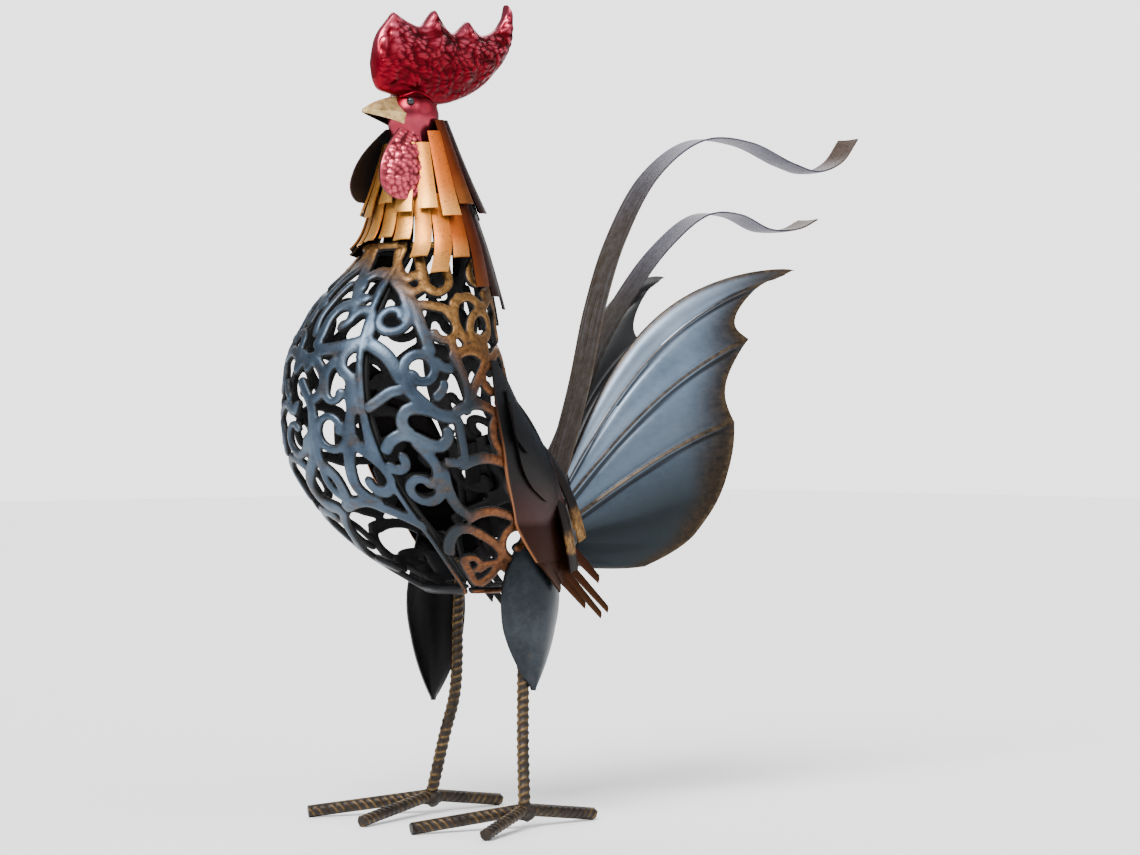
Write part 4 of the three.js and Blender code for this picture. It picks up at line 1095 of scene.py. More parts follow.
BEAK_GRID = (28, 26)
BEAK_DARK = (0.26, 0.15, 0.05)
BEAK_BRIGHT = (0.66, 0.46, 0.20)
BEAK_UNDERSIDE_SHADE = (0.006, 0.006, 0.006)


def gold_base(finish, dark, bright):
    """Brushed gold over a dark ground. It gives the paint and the grain that it follows."""
    grain = finish.speckle(330, 4, 0.65)
    worn_off = finish.speckle(55, 3).ramp(0.56, 0.72)
    base = coloured(grain, [(0.3, dark), (0.62, bright)])
    return paint_mix(worn_off * 0.6, base, dark), grain


def beak_finish():
    finish = Finish("beak_brass")
    base, grain = gold_base(finish, BEAK_DARK, BEAK_BRIGHT)
    below = (1 - finish.mark("outside")).ramp(0.2, 0.6)
    # The underside is painted near-black as painted shade.
    base = paint_mix(below, base, BEAK_UNDERSIDE_SHADE)
    return finish.coat(base, 0.7 - 0.6 * below, 0.34 + 0.12 * grain, grain, 0.25)


def beak_rule(u, v, inward):
    turned = abs(2 * u - 1) * 2
    wide, high = BEAK_CORNER
    if turned < 1:
        side, fold = wide * turned, mix(1, high, turned)
    else:
        side, fold = mix(wide, BEAK_FOOT, turned - 1), mix(high, 0, turned - 1)
    side = math.copysign(side, u - 0.5)
    taper = 1 - min(v, 0.99) ** 1.45
    narrow = taper ** 0.8
    tip_x, tip_z = BEAK["tip"]
    low = mix(BEAK["bottom"], tip_z - 1.2, v ** 0.7)
    ridge = (BEAK["top"] - tip_z) * taper ** 0.75 + tip_z
    y = (BEAK["width"] - inward) * narrow * side
    return Vector((mix(BEAK["base"], tip_x, v), y, mix(low, ridge - inward * narrow, fold)))


beak_shape = two_faced(*BEAK_GRID, beak_rule, BEAK["wall"])
piece_from(beak_shape, "beak", beak_finish(), crease=22)

# %% [markdown]
# ## The wattles
#
# Each wattle is a dished leaf, bumpy red outside with a thin bright rim. From the front left
# the far one shows its hollow side, which is painted near-black as painted shade. Front and back
# are two grids a wall apart, bridged round the rim, so each side can carry its own mark.

# %% Dished leaves with bumps
WATTLE = {"x": -69, "y": 13.5, "top": 383, "drop": 40, "width": 26, "turn": 15, "flare": 5, "dish": 5,
          "wall": 1.2, "lean": (13, 5.5)}
WATTLE_GRID = (44, 64)
WATTLE_SHAPE = {"neck": 0.42, "full": 0.6, "round": 0.68, "shut": 0.96}
WATTLE_KNOB = (3.3, 4.0, 3.0)
KNOB_RISE = 1.3
KNOB_SINK = 0.9
# Dark creases and pink crowns on the bumps: dark airbrush with painted shade, and red with a painted
# highlight.
WATTLE_HOLLOW = (0.09, 0.001, 0.006)
WATTLE_RED_AND_HIGHLIGHT = (0.62, 0.07, 0.11)
# The hollow side's near-black, a painted shade.
WATTLE_INSIDE_SHADE = (0.003, 0.002, 0.003)


def wattle_half(v):
    neck, full, bottom = (WATTLE_SHAPE[key] for key in ("neck", "full", "round"))
    swell = neck + (1 - neck) * math.sin(math.pi / 2 * min(1, v / full))
    shut = WATTLE_SHAPE["shut"] * held((v - bottom) / (1 - bottom)) ** 2
    return WATTLE["width"] / 2 * swell * math.sqrt(1 - shut)


def wattle_rule(side, u, v, inward):
    """The hollow side has the mark -1. Outside, the mark follows the bumps."""
    turn = math.radians(WATTLE["turn"])
    lean_x, lean_y = WATTLE["lean"]
    across = (u - 0.5) * 2 * wattle_half(v)
    round_off = 1 - (2 * u - 1) ** 2
    dish = WATTLE["dish"] * round_off * math.sin(math.pi * v)
    hang = (1 - v) ** 2
    y = WATTLE["y"] + WATTLE["flare"] * v + dish * 0.7 + across * math.sin(turn) - lean_y * hang
    x = WATTLE["x"] + across * math.cos(turn) + lean_x * hang
    place = Vector((x, side * (y - inward), WATTLE["top"] - WATTLE["drop"] * v))
    if inward:
        return place, -1.0
    knob = knobs(place, WATTLE_KNOB, 0.4)
    rim = held(min(u, 1 - u) * 8) * held(min(v, 1 - v) * 12)
    place.y += side * (KNOB_RISE * knob - KNOB_SINK) * rim
    return place, mix(0.5, knob, rim)


def wattle_finish():
    finish = Finish("wattle_red")
    worn = finish.speckle(90, 4, 0.6)
    mark = finish.mark("raised")
    outside = mark.ramp(-0.6, -0.2)
    # The bumps' creases are darker and their crowns pinker: partly paint, partly painted shade and painted
    # highlight.
    base = paint_mix(mark.ramp(0.1, 0.9), WATTLE_HOLLOW, WATTLE_RED_AND_HIGHLIGHT)
    # The hollow side is painted near-black, a painted shade.
    base = paint_mix(outside, WATTLE_INSIDE_SHADE, base)
    finish.set("Coat Weight", 0.2 * outside)
    finish.set("Coat Roughness", 0.12)
    roughness = 0.6 - 0.34 * outside + 0.1 * worn
    return finish.coat(base, 0.75 * outside, roughness, finish.speckle(260, 3), 0.12, 0.0006)


wattle_red = wattle_finish()
for name, side in SIDES.items():
    leaf = two_faced(*WATTLE_GRID, lambda u, v, inward: wattle_rule(side, u, v, inward), WATTLE["wall"])
    piece_from(leaf, "wattle_" + name, wattle_red, crease=50)

# %% [markdown]
# ## Hackle strips
#
# The neck is dressed in strips cut from sheet with shears, in two tiers. They lie over each
# other like shingles, one edge tucked under the next strip, and their cut ends are square. Each
# is its own small bent sheet here, so that light gets under the edges.

# %% Shingled strips down the neck
UPPER = {"count": 16, "top": 387, "lift": 2.6, "first": 8, "width": (6.2, 8.6),
         "ends": [337, 333, 340, 335]}
LOWER = {"count": 20, "top": 346, "lift": 1.0, "first": 3, "width": (8.2, 8.8),
         "ends": [309, 300, 310, 294, 290, 284, 276, 274, 276, 292, 298, 294, 300, 304, 312, 314,
                  317, 319, 321, 319]}
FRONT_ANGLE = 48
STRIP_WALL = 0.8
STRIP_CLEAR = 0.4
STRIP_TILT = 1.6
STRIP_FLARE = 2.2
STRIP_STAGGER = 0.8
STRIP_LEAN = 5.0
STRIP_CROWN = 0.5
CHEEK_TOP = {"low": 374, "rise": 13, "from": 56, "over": 45}


print(UPPER["count"] + LOWER["count"], "hackle strips")


def from_front(angle):
    """Degrees round from the bird's front, the same on both sides."""
    return abs(((angle + FRONT_ANGLE + 180) % 360) - 180)


def strip(shape, angle, tier, top, end, number):
    wander = noise.noise(Vector((number * 3.7, tier["lift"], 0)))
    lean = STRIP_LEAN * wander

    def rule(u, v):
        z = mix(end, top, v)
        width = mix(tier["width"][1], tier["width"][0], v)
        around = body_slopes(angle, z)[0].length
        turn = math.degrees((u - 0.5) * width / around) + lean * (1 - v)
        bend = STRIP_FLARE * (1 - v) ** 2 * (1 + 0.6 * wander)
        tilt = STRIP_TILT * u * (0.35 + 0.65 * (1 - v))
        out = tier["lift"] + STRIP_CLEAR + tilt + bend
        out += STRIP_STAGGER * (number % 2) * (1 - 0.6 * v)
        crown = STRIP_CROWN * (1 - (2 * u - 1) ** 2)
        return body_point(angle + turn, z, out + crown)

    part = new_shape()
    grid_on(part, 6, 14, rule)
    uv = part.loops.layers.uv["sheet"]
    for face in part.faces:
        for loop in face.loops:
            loop[uv].uv.x = from_front(angle) / 180
    walled(part, STRIP_WALL)
    pour(part, shape)


def tier_of(tier):
    """The upper tier's strips start lower in front, under the cheeks."""
    shape = new_shape()
    for i in range(tier["count"]):
        angle = tier["first"] + i * 360 / tier["count"]
        top = tier["top"]
        if tier is UPPER:
            climb = held((from_front(angle) - CHEEK_TOP["from"]) / CHEEK_TOP["over"])
            top = CHEEK_TOP["low"] + CHEEK_TOP["rise"] * climb
        strip(shape, angle, tier, top, tier["ends"][i % len(tier["ends"])], i)
    return shape

# %% Painted from gold in front to plum behind
HACKLE_ROUND = [(0.0, (0.66, 0.32, 0.075)), (0.34, (0.60, 0.22, 0.036)), (0.47, (0.52, 0.11, 0.014)),
                (0.57, (0.15, 0.028, 0.007)), (0.68, (0.030, 0.008, 0.006)), (0.95, (0.040, 0.026, 0.042))]
HACKLE_TIP = (0.75, 0.39, 0.10)
HACKLE_DIRT = (0.10, 0.04, 0.012)
HACKLE_INSIDE_SHADE = (0.006, 0.004, 0.003)


def hackle_finish():
    finish = Finish("hackle_copper")
    behind, along = finish.sheet()
    grain = finish.speckle(260, 5, 0.7)
    place = behind + 0.10 * (finish.speckle(50, 3) - 0.5) + 0.05 * along
    tips = (0.5 - along).ramp(0.1, 0.5) * (1 - behind.ramp(0.4, 0.62))
    dirt = finish.speckle(620, 3, 0.75).ramp(0.54, 0.66)
    base = paint_mix(tips * 0.65, coloured(place, HACKLE_ROUND), HACKLE_TIP)
    base = paint_mix(dirt * 0.5, base, HACKLE_DIRT)
    # The side of each strip that faces the neck is painted near-black as painted shade.
    base = paint_mix(finish.outward(-44).ramp(-0.2, 0.1), HACKLE_INSIDE_SHADE, base)
    return finish.coat(base, 0.97, 0.36 + 0.2 * grain, grain, 0.2)


hackle_copper = hackle_finish()
for name, tier in (("lower", LOWER), ("upper", UPPER)):
    piece_from(tier_of(tier), "hackle_" + name, hackle_copper, crease=30, tidy=False,
               node="hackle_collar_" + name)

# %% [markdown]
# ## Wings
#
# Each wing is flat plate, cut to a long leaf and slit at its lower end into feathers. A smaller
# plate and an oval tongue lie on it. The plates follow the body's side. The paint runs from
# graphite at the shoulder through burgundy to copper on the feathers. The wing's front edge is
# bright copper, where the paint was rubbed off, and the other cut edges are duller.

# %% The body's side, where the plates lie
WING_LIFT = 1
PLATE = 1.0
LAYER_GAP = 0.85
FEATHER_FLARE = 0.12
FLARE_FROM = 168
SIDE_END = 0.75


def side_of(x, z):
    """How far out the plates lie. Low down they stand off from the body in a straight flare."""
    level = max(z, FLARE_FROM)
    centre, radius, rear = section(level)
    reach = rear if x > centre else radius
    share = held((x - centre) / reach, -SIDE_END, SIDE_END)
    return radius * math.sqrt(1 - share * share) + FEATHER_FLARE * (level - z)


WING = rows(
    "front rear z",
    (-38, -34, 256), (-38.5, -21, 246), (-38.5, -2, 228), (-35, 11, 210),
    (-30, 22, 193), (-20.5, 31.5, 176), (-9, 39, 158), (1, 40, 146),
)
COVERT = rows(
    "front rear z",
    (-28, -24, 240), (-27, -12, 228), (-25, 0, 214), (-19, 12, 198), (-8, 19, 187), (8, 22, 179),
)
TONGUE = rows("front rear z", (-27, -22, 234), (-28, -12, 225), (-26, -7.5, 214), (-17, -11, 206))
FEATHERS = rows(
    "root tip width",
    ((4, 150), (25, 131), 8), ((16, 148), (44, 120.5), 5.4), ((22, 148.5), (55.5, 114.5), 5.4),
    ((27, 150), (61, 117.5), 5.4), ((33, 156), (56, 134.5), 6.4),
)
print(len(FEATHERS), "feathers on each wing")

# %% Plates and feathers
EDGE_BAND = {"plate": 0.7, "feather": 0.6}
DULL_EDGE = 0.5
ROOT_TUCK = 0.9
FEATHER_CREASE = 0.45
FEATHER_SLANT = 2.2


def side_plate(shape, outline, lift, side, front_edge=DULL_EDGE, along=46):
    table = outline[::-1]
    low, high = table[0]["z"], table[-1]["z"]

    def rule(u, v):
        z = mix(low, high, v)
        front, rear = smooth_at(table, "front", z), smooth_at(table, "rear", z)
        x = mix(front, rear, u)
        bright = front_edge if u < 0.01 else DULL_EDGE
        return Vector((x, side * (side_of(x, z) + lift + PLATE / 2), z)), bright

    part = new_shape()
    grid_on(part, 14, along, rule)
    refine_edges(part, EDGE_BAND["plate"])
    walled(part, PLATE)
    pour(part, shape)


def refine_edges(part, band):
    """Adds a narrow row of faces inside the outline, so that the bright cut edge stays narrow."""
    raised = part.verts.layers.float["raised"]
    bmesh.ops.inset_region(part, faces=part.faces[:], thickness=band, use_even_offset=True)
    for vert in part.verts:
        if not vert.is_boundary:
            vert[raised] = 0.0


def feather(shape, row, lift, side):
    root, tip = Vector(row["root"]), Vector(row["tip"])
    way = (tip - root).normalized()

    def rule(u, v):
        half = (u - 0.5) * row["width"] * mix(1, 0.62, v ** 1.4)
        slant = FEATHER_SLANT * (u - 0.5) * v
        spot = mix(root, tip, v) + Vector((-way.y, way.x)) * half - way * slant
        crease = FEATHER_CREASE * (1 - abs(2 * u - 1)) * v
        tuck = ROOT_TUCK * (1 - held(v * 4))
        out = side_of(spot.x, spot.y) + lift + PLATE / 2 + crease - tuck
        return Vector((spot.x, side * out, spot.y)), DULL_EDGE * held(v * 4)

    part = new_shape()
    grid_on(part, 4, 14, rule)
    refine_edges(part, EDGE_BAND["feather"])
    walled(part, PLATE)
    pour(part, shape)

# %% Wing paint
WING_HEIGHTS = [(0.0, (0.045, 0.016, 0.005)), (0.22, (0.034, 0.008, 0.004)), (0.42, (0.022, 0.004, 0.003)),
                (0.60, (0.008, 0.005, 0.005)), (0.8, (0.009, 0.009, 0.010)), (1.0, (0.014, 0.014, 0.015))]
WING_GRAIN = (0.06, 0.03, 0.016)
WING_EDGE = (0.30, 0.115, 0.045)


def wing_finish(name, side):
    finish = Finish("wing_bronze_" + name)
    grain = finish.speckle(240, 5, 0.7)
    streaks = finish.speckle(90, 4, 0.6, (1.6, 1.6, 0.35))
    height = (finish.z + 16 * (streaks - 0.5)).ramp(115, 250)
    edge = finish.mark("raised").ramp(0.45, 0.95) * finish.z.ramp(250, 185)
    base = paint_mix(grain.ramp(0.55, 0.75) * 0.25, coloured(height, WING_HEIGHTS), WING_GRAIN)
    base = paint_mix(edge * 0.85, base, WING_EDGE)
    # The side that faces the body is painted near-black as painted shade.
    base = paint_mix(finish.facing((0, side, 0)).ramp(-0.1, 0.1), WARM_SHADE_BLACK, base)
    return finish.coat(base, 0.93, 0.34 + 0.2 * grain, grain * 0.5 + streaks * 0.5, 0.2)

# %% Three layers of plate on each side
for name, side in SIDES.items():
    wing_bronze = wing_finish(name, side)
    layers = {kind + name: new_shape() for kind in ("wing_", "wing_covert_", "wing_tongue_")}
    plate, covert, tongue = layers.values()
    side_plate(plate, WING, WING_LIFT, side, front_edge=1.0)
    for row in FEATHERS:
        feather(plate, row, WING_LIFT, side)
    side_plate(covert, COVERT, WING_LIFT + PLATE + LAYER_GAP, side)
    side_plate(tongue, TONGUE, WING_LIFT + 2 * (PLATE + LAYER_GAP), side, along=24)
    for node, shape in layers.items():
        piece_from(shape, node, wing_bronze, crease=30, tidy=False)

# %% [markdown]
# ## Saddle strips
#
# Three narrow strips hang over the rump on each side, behind the wing. They are bent by hand, so
# each is a bowed sheet along a short curve. They are gold, but black at the tips, and their inner
# side is painted near-black as painted shade.

# %% Bowed gold strips
SADDLE = rows(
    "start end",
    ((20, 20, 216), (46, 36, 157)), ((26, 15, 212), (50, 27, 164)), ((16, 26, 212), (36, 40, 140)),
)
SADDLE_WIDTH = 11
SADDLE_WALL = 1.0
SADDLE_CROWN = 0.7
SADDLE_BOW = {"at": 0.45, "back": 4, "out": 8, "up": 6}
SADDLE_DARK = (0.05, 0.022, 0.006)
SADDLE_BRIGHT = (0.42, 0.22, 0.07)
SADDLE_TIP = (0.012, 0.007, 0.006)


def saddle_strip(shape, row, side):
    start, end = (Vector((x, side * y, z)) for x, y, z in (row["start"], row["end"]))
    bow = Vector((SADDLE_BOW["back"], side * SADDLE_BOW["out"], SADDLE_BOW["up"]))
    bend = start.lerp(end, SADDLE_BOW["at"]) + bow
    flat = (end - start).cross(Vector((0.4, side, 0.3))).normalized()
    out = flat.cross(end - start).normalized() * -side

    def rule(u, v):
        spot = start * (1 - v) ** 2 + bend * (2 * v * (1 - v)) + end * v * v
        crown = out * (SADDLE_CROWN * (1 - (2 * u - 1) ** 2))
        return spot + flat * ((u - 0.5) * SADDLE_WIDTH * mix(0.8, 1, v)) + crown

    sheet_on(shape, 6, 20, rule, SADDLE_WALL)


def saddle_finish():
    finish = Finish("saddle_gold")
    base, grain = gold_base(finish, SADDLE_DARK, SADDLE_BRIGHT)
    along = finish.sheet()[1]
    outside = (finish.y * finish.facing((0, 1, 0))).ramp(-2, 4)
    tip = along.ramp(0.72, 0.82) * finish.z.ramp(148, 152)
    # The side facing the body is painted near-black as painted shade; the tips are black.
    base = paint_mix(outside, SHADE_BLACK, paint_mix(tip, SADDLE_TIP, base))
    return finish.coat(base, 0.7, 0.38 + 0.12 * grain, grain, 0.25)


saddle_gold = saddle_finish()
for name, side in SIDES.items():
    strips = new_shape()
    for row in SADDLE:
        saddle_strip(strips, row, side)
    piece_from(strips, "saddle_strips_" + name, saddle_gold, crease=30, tidy=False)

# %% [markdown]
# ## Tail fans
#
# A fan is one sheet pressed into panels. Each panel swells between raised ribs, and a groove runs
# along each rib, darkened with painted shade. The panels are blue-steel lacquer, with a painted
# highlight on the upper panels and painted shade on the lower ones, and the ribs and the scalloped
# rim are rubbed to bronze. Their inner side is painted near-black as painted shade. The map's
# first share counts across the rays, so a rib is where it is whole.

# %% Panels between rays
TAIL_ROOT = {"x": 57, "y": 5, "z": 186}
TAIL_SPREAD = 20
FAN_WALL = 1.4
FAN_PUFF = 4
RIB_RISE = 1.3
RIB_WIDTH = 1.1
GROOVE_DEPTH = 0.6
GROOVE_WIDTH = 1.2
GROOVE_OFF = 2.2
FAN_RAYS = rows(
    "start end bow",
    ((1, 0), (150, 127), 36), ((2, -2), (127, 118), 18.5), ((3, -9), (118.5, 86), 10.5),
    ((6, -20), (109, 37.2), 6), ((8, -27), (103, 2), -2), ((8, -32), (83, -29), -3),
    ((7, -36), (52, -46.5), -3), ((3, -38), (18, -47), -2),
)
FAN_PANELS = len(FAN_RAYS) - 1
FAN_SCALLOP = [-0.02, 0.085, 0.085, -0.02, -0.03, -0.05, -0.08]
PUFFED_PANELS = 3
RIBBED = [0, 1, 2, 3]
FAN_GRID = (FAN_PANELS * 14, 60)


print(FAN_PANELS, "panels in each fan")


def fan_ray(row, share):
    start = Vector(row["start"])
    along = Vector(row["end"]) - start
    across = Vector((-along.y, along.x)).normalized()
    lift = row["bow"] * math.sin(math.pi * held(share) ** 1.15) ** 0.8
    return start + along * share + across * lift

# %% The relief of a panel
def bell(off, width):
    return math.exp(-(off / width) ** 2)


def fan_relief(place, t, u, v):
    """How far a spot stands out, with the height of its rib and its groove."""
    swell = math.sin(math.pi * t)
    if place >= PUFFED_PANELS:
        swell = 0.5 + 0.2 * swell
    puff = FAN_PUFF * (swell + 2 * math.sin(math.pi * u)) * math.sin(math.pi * 0.9 * v) * 0.6
    nearest = min(RIBBED, key=lambda k: abs(place - k))
    if nearest == 0:
        return puff, 0.0, 0.0
    off = abs(place - nearest) * (8 + 26 * v)
    rib = bell(off, RIB_WIDTH)
    groove = bell(off - GROOVE_OFF, GROOVE_WIDTH) if place > nearest else 0.0
    fade = held(v * 6) * held((1.02 - v) * 8)
    return puff + (RIB_RISE * rib - GROOVE_DEPTH * groove) * fade, rib, groove


def fan_rule(side, u, v, depth):
    turn = math.radians(TAIL_SPREAD)
    place = u * FAN_PANELS
    i = min(int(place), FAN_PANELS - 1)
    t = place - i
    reach = 0.04 + 0.96 * v * (1 - FAN_SCALLOP[i] * math.sin(math.pi * t) * v * v)
    spot = fan_ray(FAN_RAYS[i], reach).lerp(fan_ray(FAN_RAYS[i + 1], reach), t)
    puff, rib, groove = fan_relief(place, t, u, v)
    out = TAIL_ROOT["y"] + spot.x * math.sin(turn) + puff * math.cos(turn)
    x = TAIL_ROOT["x"] + spot.x * math.cos(turn) - puff * math.sin(turn)
    edge = 1 - held(min(1 - v, u * 1.5, (1 - u) * 1.5) * 14)
    mark = max(rib, edge * 0.8) - groove * 0.9
    return Vector((x, side * (out - depth), TAIL_ROOT["z"] + spot.y)), mark

# %% Blue steel with rusty rims
FAN_CLOUDS = [(0.25, (0.07, 0.10, 0.145)), (0.5, (0.13, 0.175, 0.235)), (0.75, (0.19, 0.24, 0.31))]
# A painted highlight for the upper panels and a painted shade for the lower ones.
FAN_PAINTED_HIGHLIGHT = (0.30, 0.37, 0.46)
FAN_PAINTED_SHADE = (0.014, 0.018, 0.021)
FAN_RUST = [(0.35, (0.009, 0.005, 0.002)), (0.7, (0.034, 0.019, 0.008))]
FAN_RIB = [(0.35, (0.014, 0.009, 0.005)), (0.7, (0.085, 0.055, 0.028))]
# Painted shade for the groove along each rib.
FAN_GROOVE_SHADE = (0.006, 0.005, 0.005)


def tail_finish():
    finish = Finish("tail_blue")
    across, along = finish.sheet()
    grain = finish.speckle(200, 5, 0.7, (1, 1, 1.6))
    clouds = finish.speckle(16, 3, 0.5)
    mark = finish.mark("raised")
    rib = mark.ramp(0.15, 0.7)
    groove = (0 - mark).ramp(0.05, 0.6)
    # A painted highlight on the upper panels and painted shade on the lower ones.
    high = (0.22 - across).ramp(0, 0.12) * clouds.ramp(0.25, 0.7)
    low = (across + 0.12 * (clouds - 0.5)).ramp(0.2, 0.62)
    rust = (along + 0.3 * (clouds - 0.5)).ramp(0.66, 0.96)
    outer = finish.mark("outside").ramp(0.3, 0.7)
    base = coloured(clouds * 0.7 + 0.3 * grain, FAN_CLOUDS)
    base = paint_mix(high * 0.8, base, FAN_PAINTED_HIGHLIGHT)
    base = paint_mix(low, base, FAN_PAINTED_SHADE)
    base = paint_mix(rust * 0.9, base, coloured(grain, FAN_RUST))
    base = paint_mix(rib * 0.9, base, coloured(grain, FAN_RIB))
    # The groove along each rib is darkened with painted shade.
    base = paint_mix(groove * 0.8, base, FAN_GROOVE_SHADE)
    # The inner side is painted near-black as painted shade.
    base = paint_mix(outer, BLUE_SHADE_BLACK, base)
    roughness = 0.30 + 0.2 * grain + 0.1 * rib
    return finish.coat(base, 0.5 + 0.35 * outer, roughness, grain, 0.15)


tail_blue = tail_finish()
for name, side in SIDES.items():
    fan = two_faced(*FAN_GRID, lambda u, v, depth: fan_rule(side, u, v, depth), FAN_WALL)
    piece_from(fan, "tail_fan_" + name, tail_blue, crease=50)

# %% [markdown]
# ## Tail ribbons
#
# Two long strips curl out between the fans. They were wire brushed along their length, brown and
# blue-grey below and lavender along the top. Each is a flat sheet swept along its curve, a
# little dished, with its brush lines following the map.

# %% Curled ribbons
RIBBON_WIDTH = 18.5
RIBBON_WALL = 1.5
RIBBON_STEP = 3
RIBBONS = {
    "long": {"y": -8, "path": [
        (46, 178), (57, 207), (70, 245), (82, 289), (98, 328), (125, 366.5), (162, 389.5),
        (202, 390.5), (238, 380.5), (262, 377), (284, 385), (298, 400)]},
    "short": {"y": 11, "path": [
        (48, 176), (75, 213), (95, 258), (122, 295), (151, 325.5), (185, 347.5), (212, 348.7),
        (239, 341), (265, 343), (281, 349.5)]},
}
RIBBON_DISH = 0.5
RIBBON_LOW = [(0.35, (0.022, 0.015, 0.010)), (0.5, (0.065, 0.048, 0.036)), (0.66, (0.12, 0.12, 0.135))]
RIBBON_HIGH = [(0.35, (0.035, 0.033, 0.05)), (0.5, (0.075, 0.07, 0.10)), (0.66, (0.15, 0.145, 0.18))]
RIBBON_TIP = [(0.35, (0.04, 0.025, 0.018)), (0.66, (0.13, 0.09, 0.07))]
BRUSH_LINES = {"across": 60, "along": 5}


def ribbon_finish():
    finish = Finish("ribbon_steel")
    across, along = finish.sheet()
    spread = {0: across * BRUSH_LINES["across"], 1: along * BRUSH_LINES["along"], 2: 0.0}
    place = wire(finish.tree, "ShaderNodeCombineXYZ", {}, spread)
    sockets = {"Vector": place, "Scale": 1.0, "Detail": 4.0}
    brushed = wire(finish.tree, "ShaderNodeTexNoise", {}, sockets)
    lines = brushed * 0.7 + finish.speckle(220, 4, 0.7) * 0.3
    low, high, tip = (coloured(lines, stops) for stops in (RIBBON_LOW, RIBBON_HIGH, RIBBON_TIP))
    base = paint_mix(along.ramp(0.38, 0.62), low, high)
    base = paint_mix(along.ramp(0.86, 0.97), base, tip)
    return finish.coat(base, 0.7, 0.36 + 0.22 * lines, lines, 0.3)


def ribbon_shape(row):
    line = smooth_line([Vector((x, row["y"], z)) for x, z in row["path"]], RIBBON_STEP)
    last = len(line) - 1

    def rule(u, v):
        i = round(v * last)
        heading = (line[min(i + 1, last)] - line[max(i - 1, 0)]).normalized()
        thick = Vector((-heading.z, 0, heading.x))
        across = (u - 0.5) * RIBBON_WIDTH * mix(1, 0.9, v)
        dish = RIBBON_DISH * (2 * u - 1) ** 2 + RIBBON_WALL / 4
        return line[i] + Vector((0, across, 0)) + thick * dish

    shape = new_shape()
    sheet_on(shape, 6, last, rule, RIBBON_WALL * 0.7)
    return shape


ribbon_steel = ribbon_finish()
for name, row in RIBBONS.items():
    node = "tail_ribbon_" + name
    piece_from(ribbon_shape(row), node, ribbon_steel, crease=30, tidy=False)

# %% [markdown]
# ## Thighs
#
# A thigh is a dished leaf, slate blue outside with a soft sheen down its middle, and painted
# near-black inside as painted shade.
# The left one hangs a little behind the right one and is shorter, as the photo shows them. Two
# grids a wall apart carry the two colours, as on the wattles.

# %% Leaf shaped thighs
THIGH = {"top": 161, "half": 21, "widest": 0.42, "dish": 11, "tuck": 5.5, "wall": 1.4}
THIGH_SIDE = {"left": {"x": 11, "y": 41, "tip": 74.5}, "right": {"x": -4, "y": 43, "tip": 65}}


THIGH_GRID = (24, 50)
THIGH_CLOUDS = [(0.3, (0.008, 0.010, 0.012)), (0.5, (0.020, 0.024, 0.029)), (0.7, (0.045, 0.053, 0.062))]
THIGH_BROWN = (0.05, 0.032, 0.018)


def thigh_width(v):
    """The leaf's share of its full width: round above, drawn to a point below."""
    widest = THIGH["widest"]
    if v < widest:
        return 0.45 + 0.55 * math.sin(math.pi / 2 * v / widest)
    return max(0.05, math.cos(math.pi / 2 * (v - widest) / (1 - widest)) ** 0.85)


def thigh_rule(name, u, v, inward):
    own = THIGH_SIDE[name]
    half = THIGH["half"] * thigh_width(v)
    across = (u - 0.5) * 2
    sag = THIGH["dish"] * across * across * min(1, half / THIGH["half"] + 0.1)
    y = own["y"] - sag * 0.8 - THIGH["tuck"] * v ** 3 - inward
    z = THIGH["top"] - (THIGH["top"] - own["tip"]) * v
    return Vector((own["x"] + across * half, SIDES[name] * y, z))


def thigh_finish():
    finish = Finish("thigh_slate")
    grain = finish.speckle(260, 5, 0.7)
    outer = finish.mark("outside").ramp(0.3, 0.7)
    brown = grain.ramp(0.56, 0.72) * finish.z.ramp(120, 80)
    base = coloured(finish.speckle(24, 3) * 0.7 + grain * 0.3, THIGH_CLOUDS)
    # The inner side is painted near-black as painted shade.
    base = paint_mix(outer, SHADE_BLACK, paint_mix(brown * 0.6, base, THIGH_BROWN))
    return finish.coat(base, 0.5 + 0.35 * outer, 0.30 + 0.2 * grain, grain, 0.12)


thigh_slate = thigh_finish()
for name in SIDES:
    leaf = two_faced(*THIGH_GRID, lambda u, v, inward: thigh_rule(name, u, v, inward), THIGH["wall"])
    piece_from(leaf, "thigh_" + name, thigh_slate, crease=50)

# %% [markdown]
# ## Legs and feet
#
# The legs and toes are ribbed building rod: slanting ribs round it, two straight ribs along it
# and flat sawn ends. The rod is swept along its line, and a rule of angle and run adds the ribs.
# The dry brush left gold on the ribs and dark brown between them. The ankle is one lump of weld.

# %% Ribbed rod
ROD_RADIUS = 3.1
TOE_RADIUS = 2.95
RIB_PITCH = 4.4
RIB_HEIGHT = 0.55
RIB_SLANT = 1.3
ROD_SIDES = 24
ROD_STEP = 0.9
ANKLE = (-1.5, 40.5, 10.5)
LEG = [ANKLE, (3, 34, 45), (7, 29.5, 70), (8, 28.5, 112), (9, 27, 146)]
ANKLE_WELD = {"down": 1.5, "size": (6.2, 6.0, 5.0), "seed": 3}
TOE_END_HEIGHT = 3.3
TOE_START = 0.04
TOES = {
    "left": [("inner", 66, -20), ("outer", 52, 25), ("back", 52, 180)],
    "right": [("inner", 67, -16), ("outer", 71, 28), ("back", 52, 180)],
}


print("a rib every", RIB_PITCH, "mm along the rod")


def rib(angle, run):
    slant = run / RIB_PITCH + RIB_SLANT * abs(math.sin(angle / 2))
    ring = max(0.0, math.cos(2 * math.pi * slant)) ** 1.5
    ring *= held(abs(math.sin(angle)) * 3)
    spine = held(1 - abs(math.sin(angle)) * 5)
    return RIB_HEIGHT * max(ring, spine)


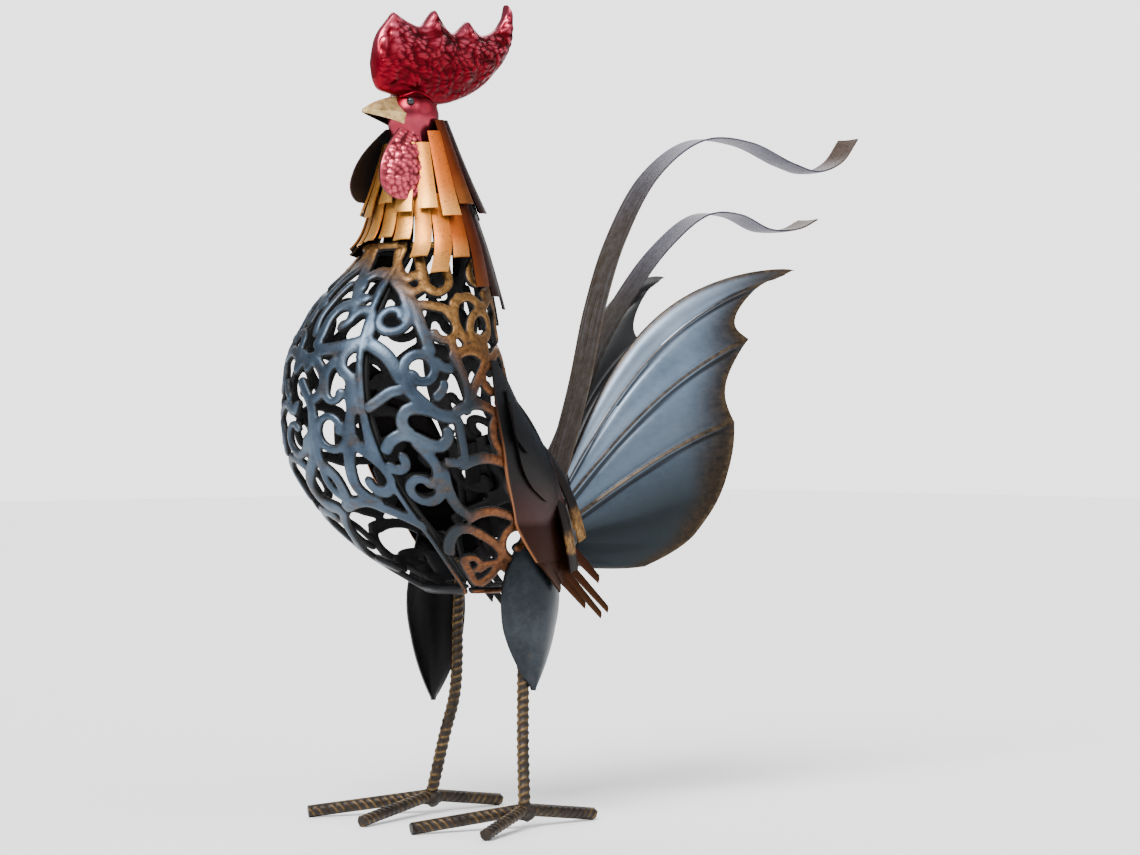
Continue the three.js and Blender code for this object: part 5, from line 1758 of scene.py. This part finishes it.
def leg_shape(side):
    x, y, z = ANKLE
    shape = new_shape()
    line = smooth_line([Vector((x, side * y, z)) for x, y, z in LEG], ROD_STEP)
    round_rod(shape, line, ROD_RADIUS, ROD_SIDES, rib)
    weld = (x, side * y, z - ANKLE_WELD["down"])
    weld_blob(shape, weld, ANKLE_WELD["size"], ANKLE_WELD["seed"] + side)
    return shape


def toe_shape(side, length, turn):
    """A toe leaves the ankle at its turn from straight ahead and ends just over the ground."""
    x, y, z = ANKLE
    heading = math.radians(turn)
    run = math.sqrt(length ** 2 - (z - TOE_END_HEIGHT) ** 2)
    start = Vector((x, side * y, z))
    ahead = Vector((-run * math.cos(heading), side * run * math.sin(heading), 0))
    end = Vector((start.x + ahead.x, start.y + ahead.y, TOE_END_HEIGHT))
    count = round(length / ROD_STEP)
    shares = [TOE_START + (1 - TOE_START) * i / count for i in range(count + 1)]
    shape = new_shape()
    round_rod(shape, [start.lerp(end, share) for share in shares], TOE_RADIUS, ROD_SIDES, rib)
    return shape

# %% Iron, with gold on the ribs
ROD_IRON = [(0.3, (0.006, 0.004, 0.003)), (0.7, (0.026, 0.016, 0.010))]
ROD_GOLD = [(0.3, (0.035, 0.020, 0.008)), (0.7, (0.21, 0.13, 0.052))]


def rod_finish():
    finish = Finish("rod_iron")
    grain = finish.speckle(300, 5, 0.7)
    proud = finish.mark("raised").ramp(0.08, 0.42)
    rubbed = proud * finish.speckle(70, 4).ramp(0.34, 0.58)
    base = paint_mix(rubbed, coloured(grain, ROD_IRON), coloured(grain, ROD_GOLD))
    return finish.coat(base, 0.5 + 0.3 * proud, 0.42 + 0.2 * grain, grain, 0.35, 0.0005)


rod_iron = rod_finish()
for name, side in SIDES.items():
    rods = {"leg_" + name: leg_shape(side)}
    for toe, length, turn in TOES[name]:
        rods["toe_" + toe + "_" + name] = toe_shape(side, length, turn)
    for node, shape in rods.items():
        piece_from(shape, node, rod_iron, crease=50)

# %% [markdown]
# ## Floor paint and the end
#
# The floor is a plain pale studio floor.

# %% Floor and the last line
floor_paint = Finish("floor_paint")
floor_paint.set("Base Color", (0.9, 0.9, 0.9))
floor_paint.set("Roughness", 0.7)
floor_mesh.materials.append(floor_paint.material)
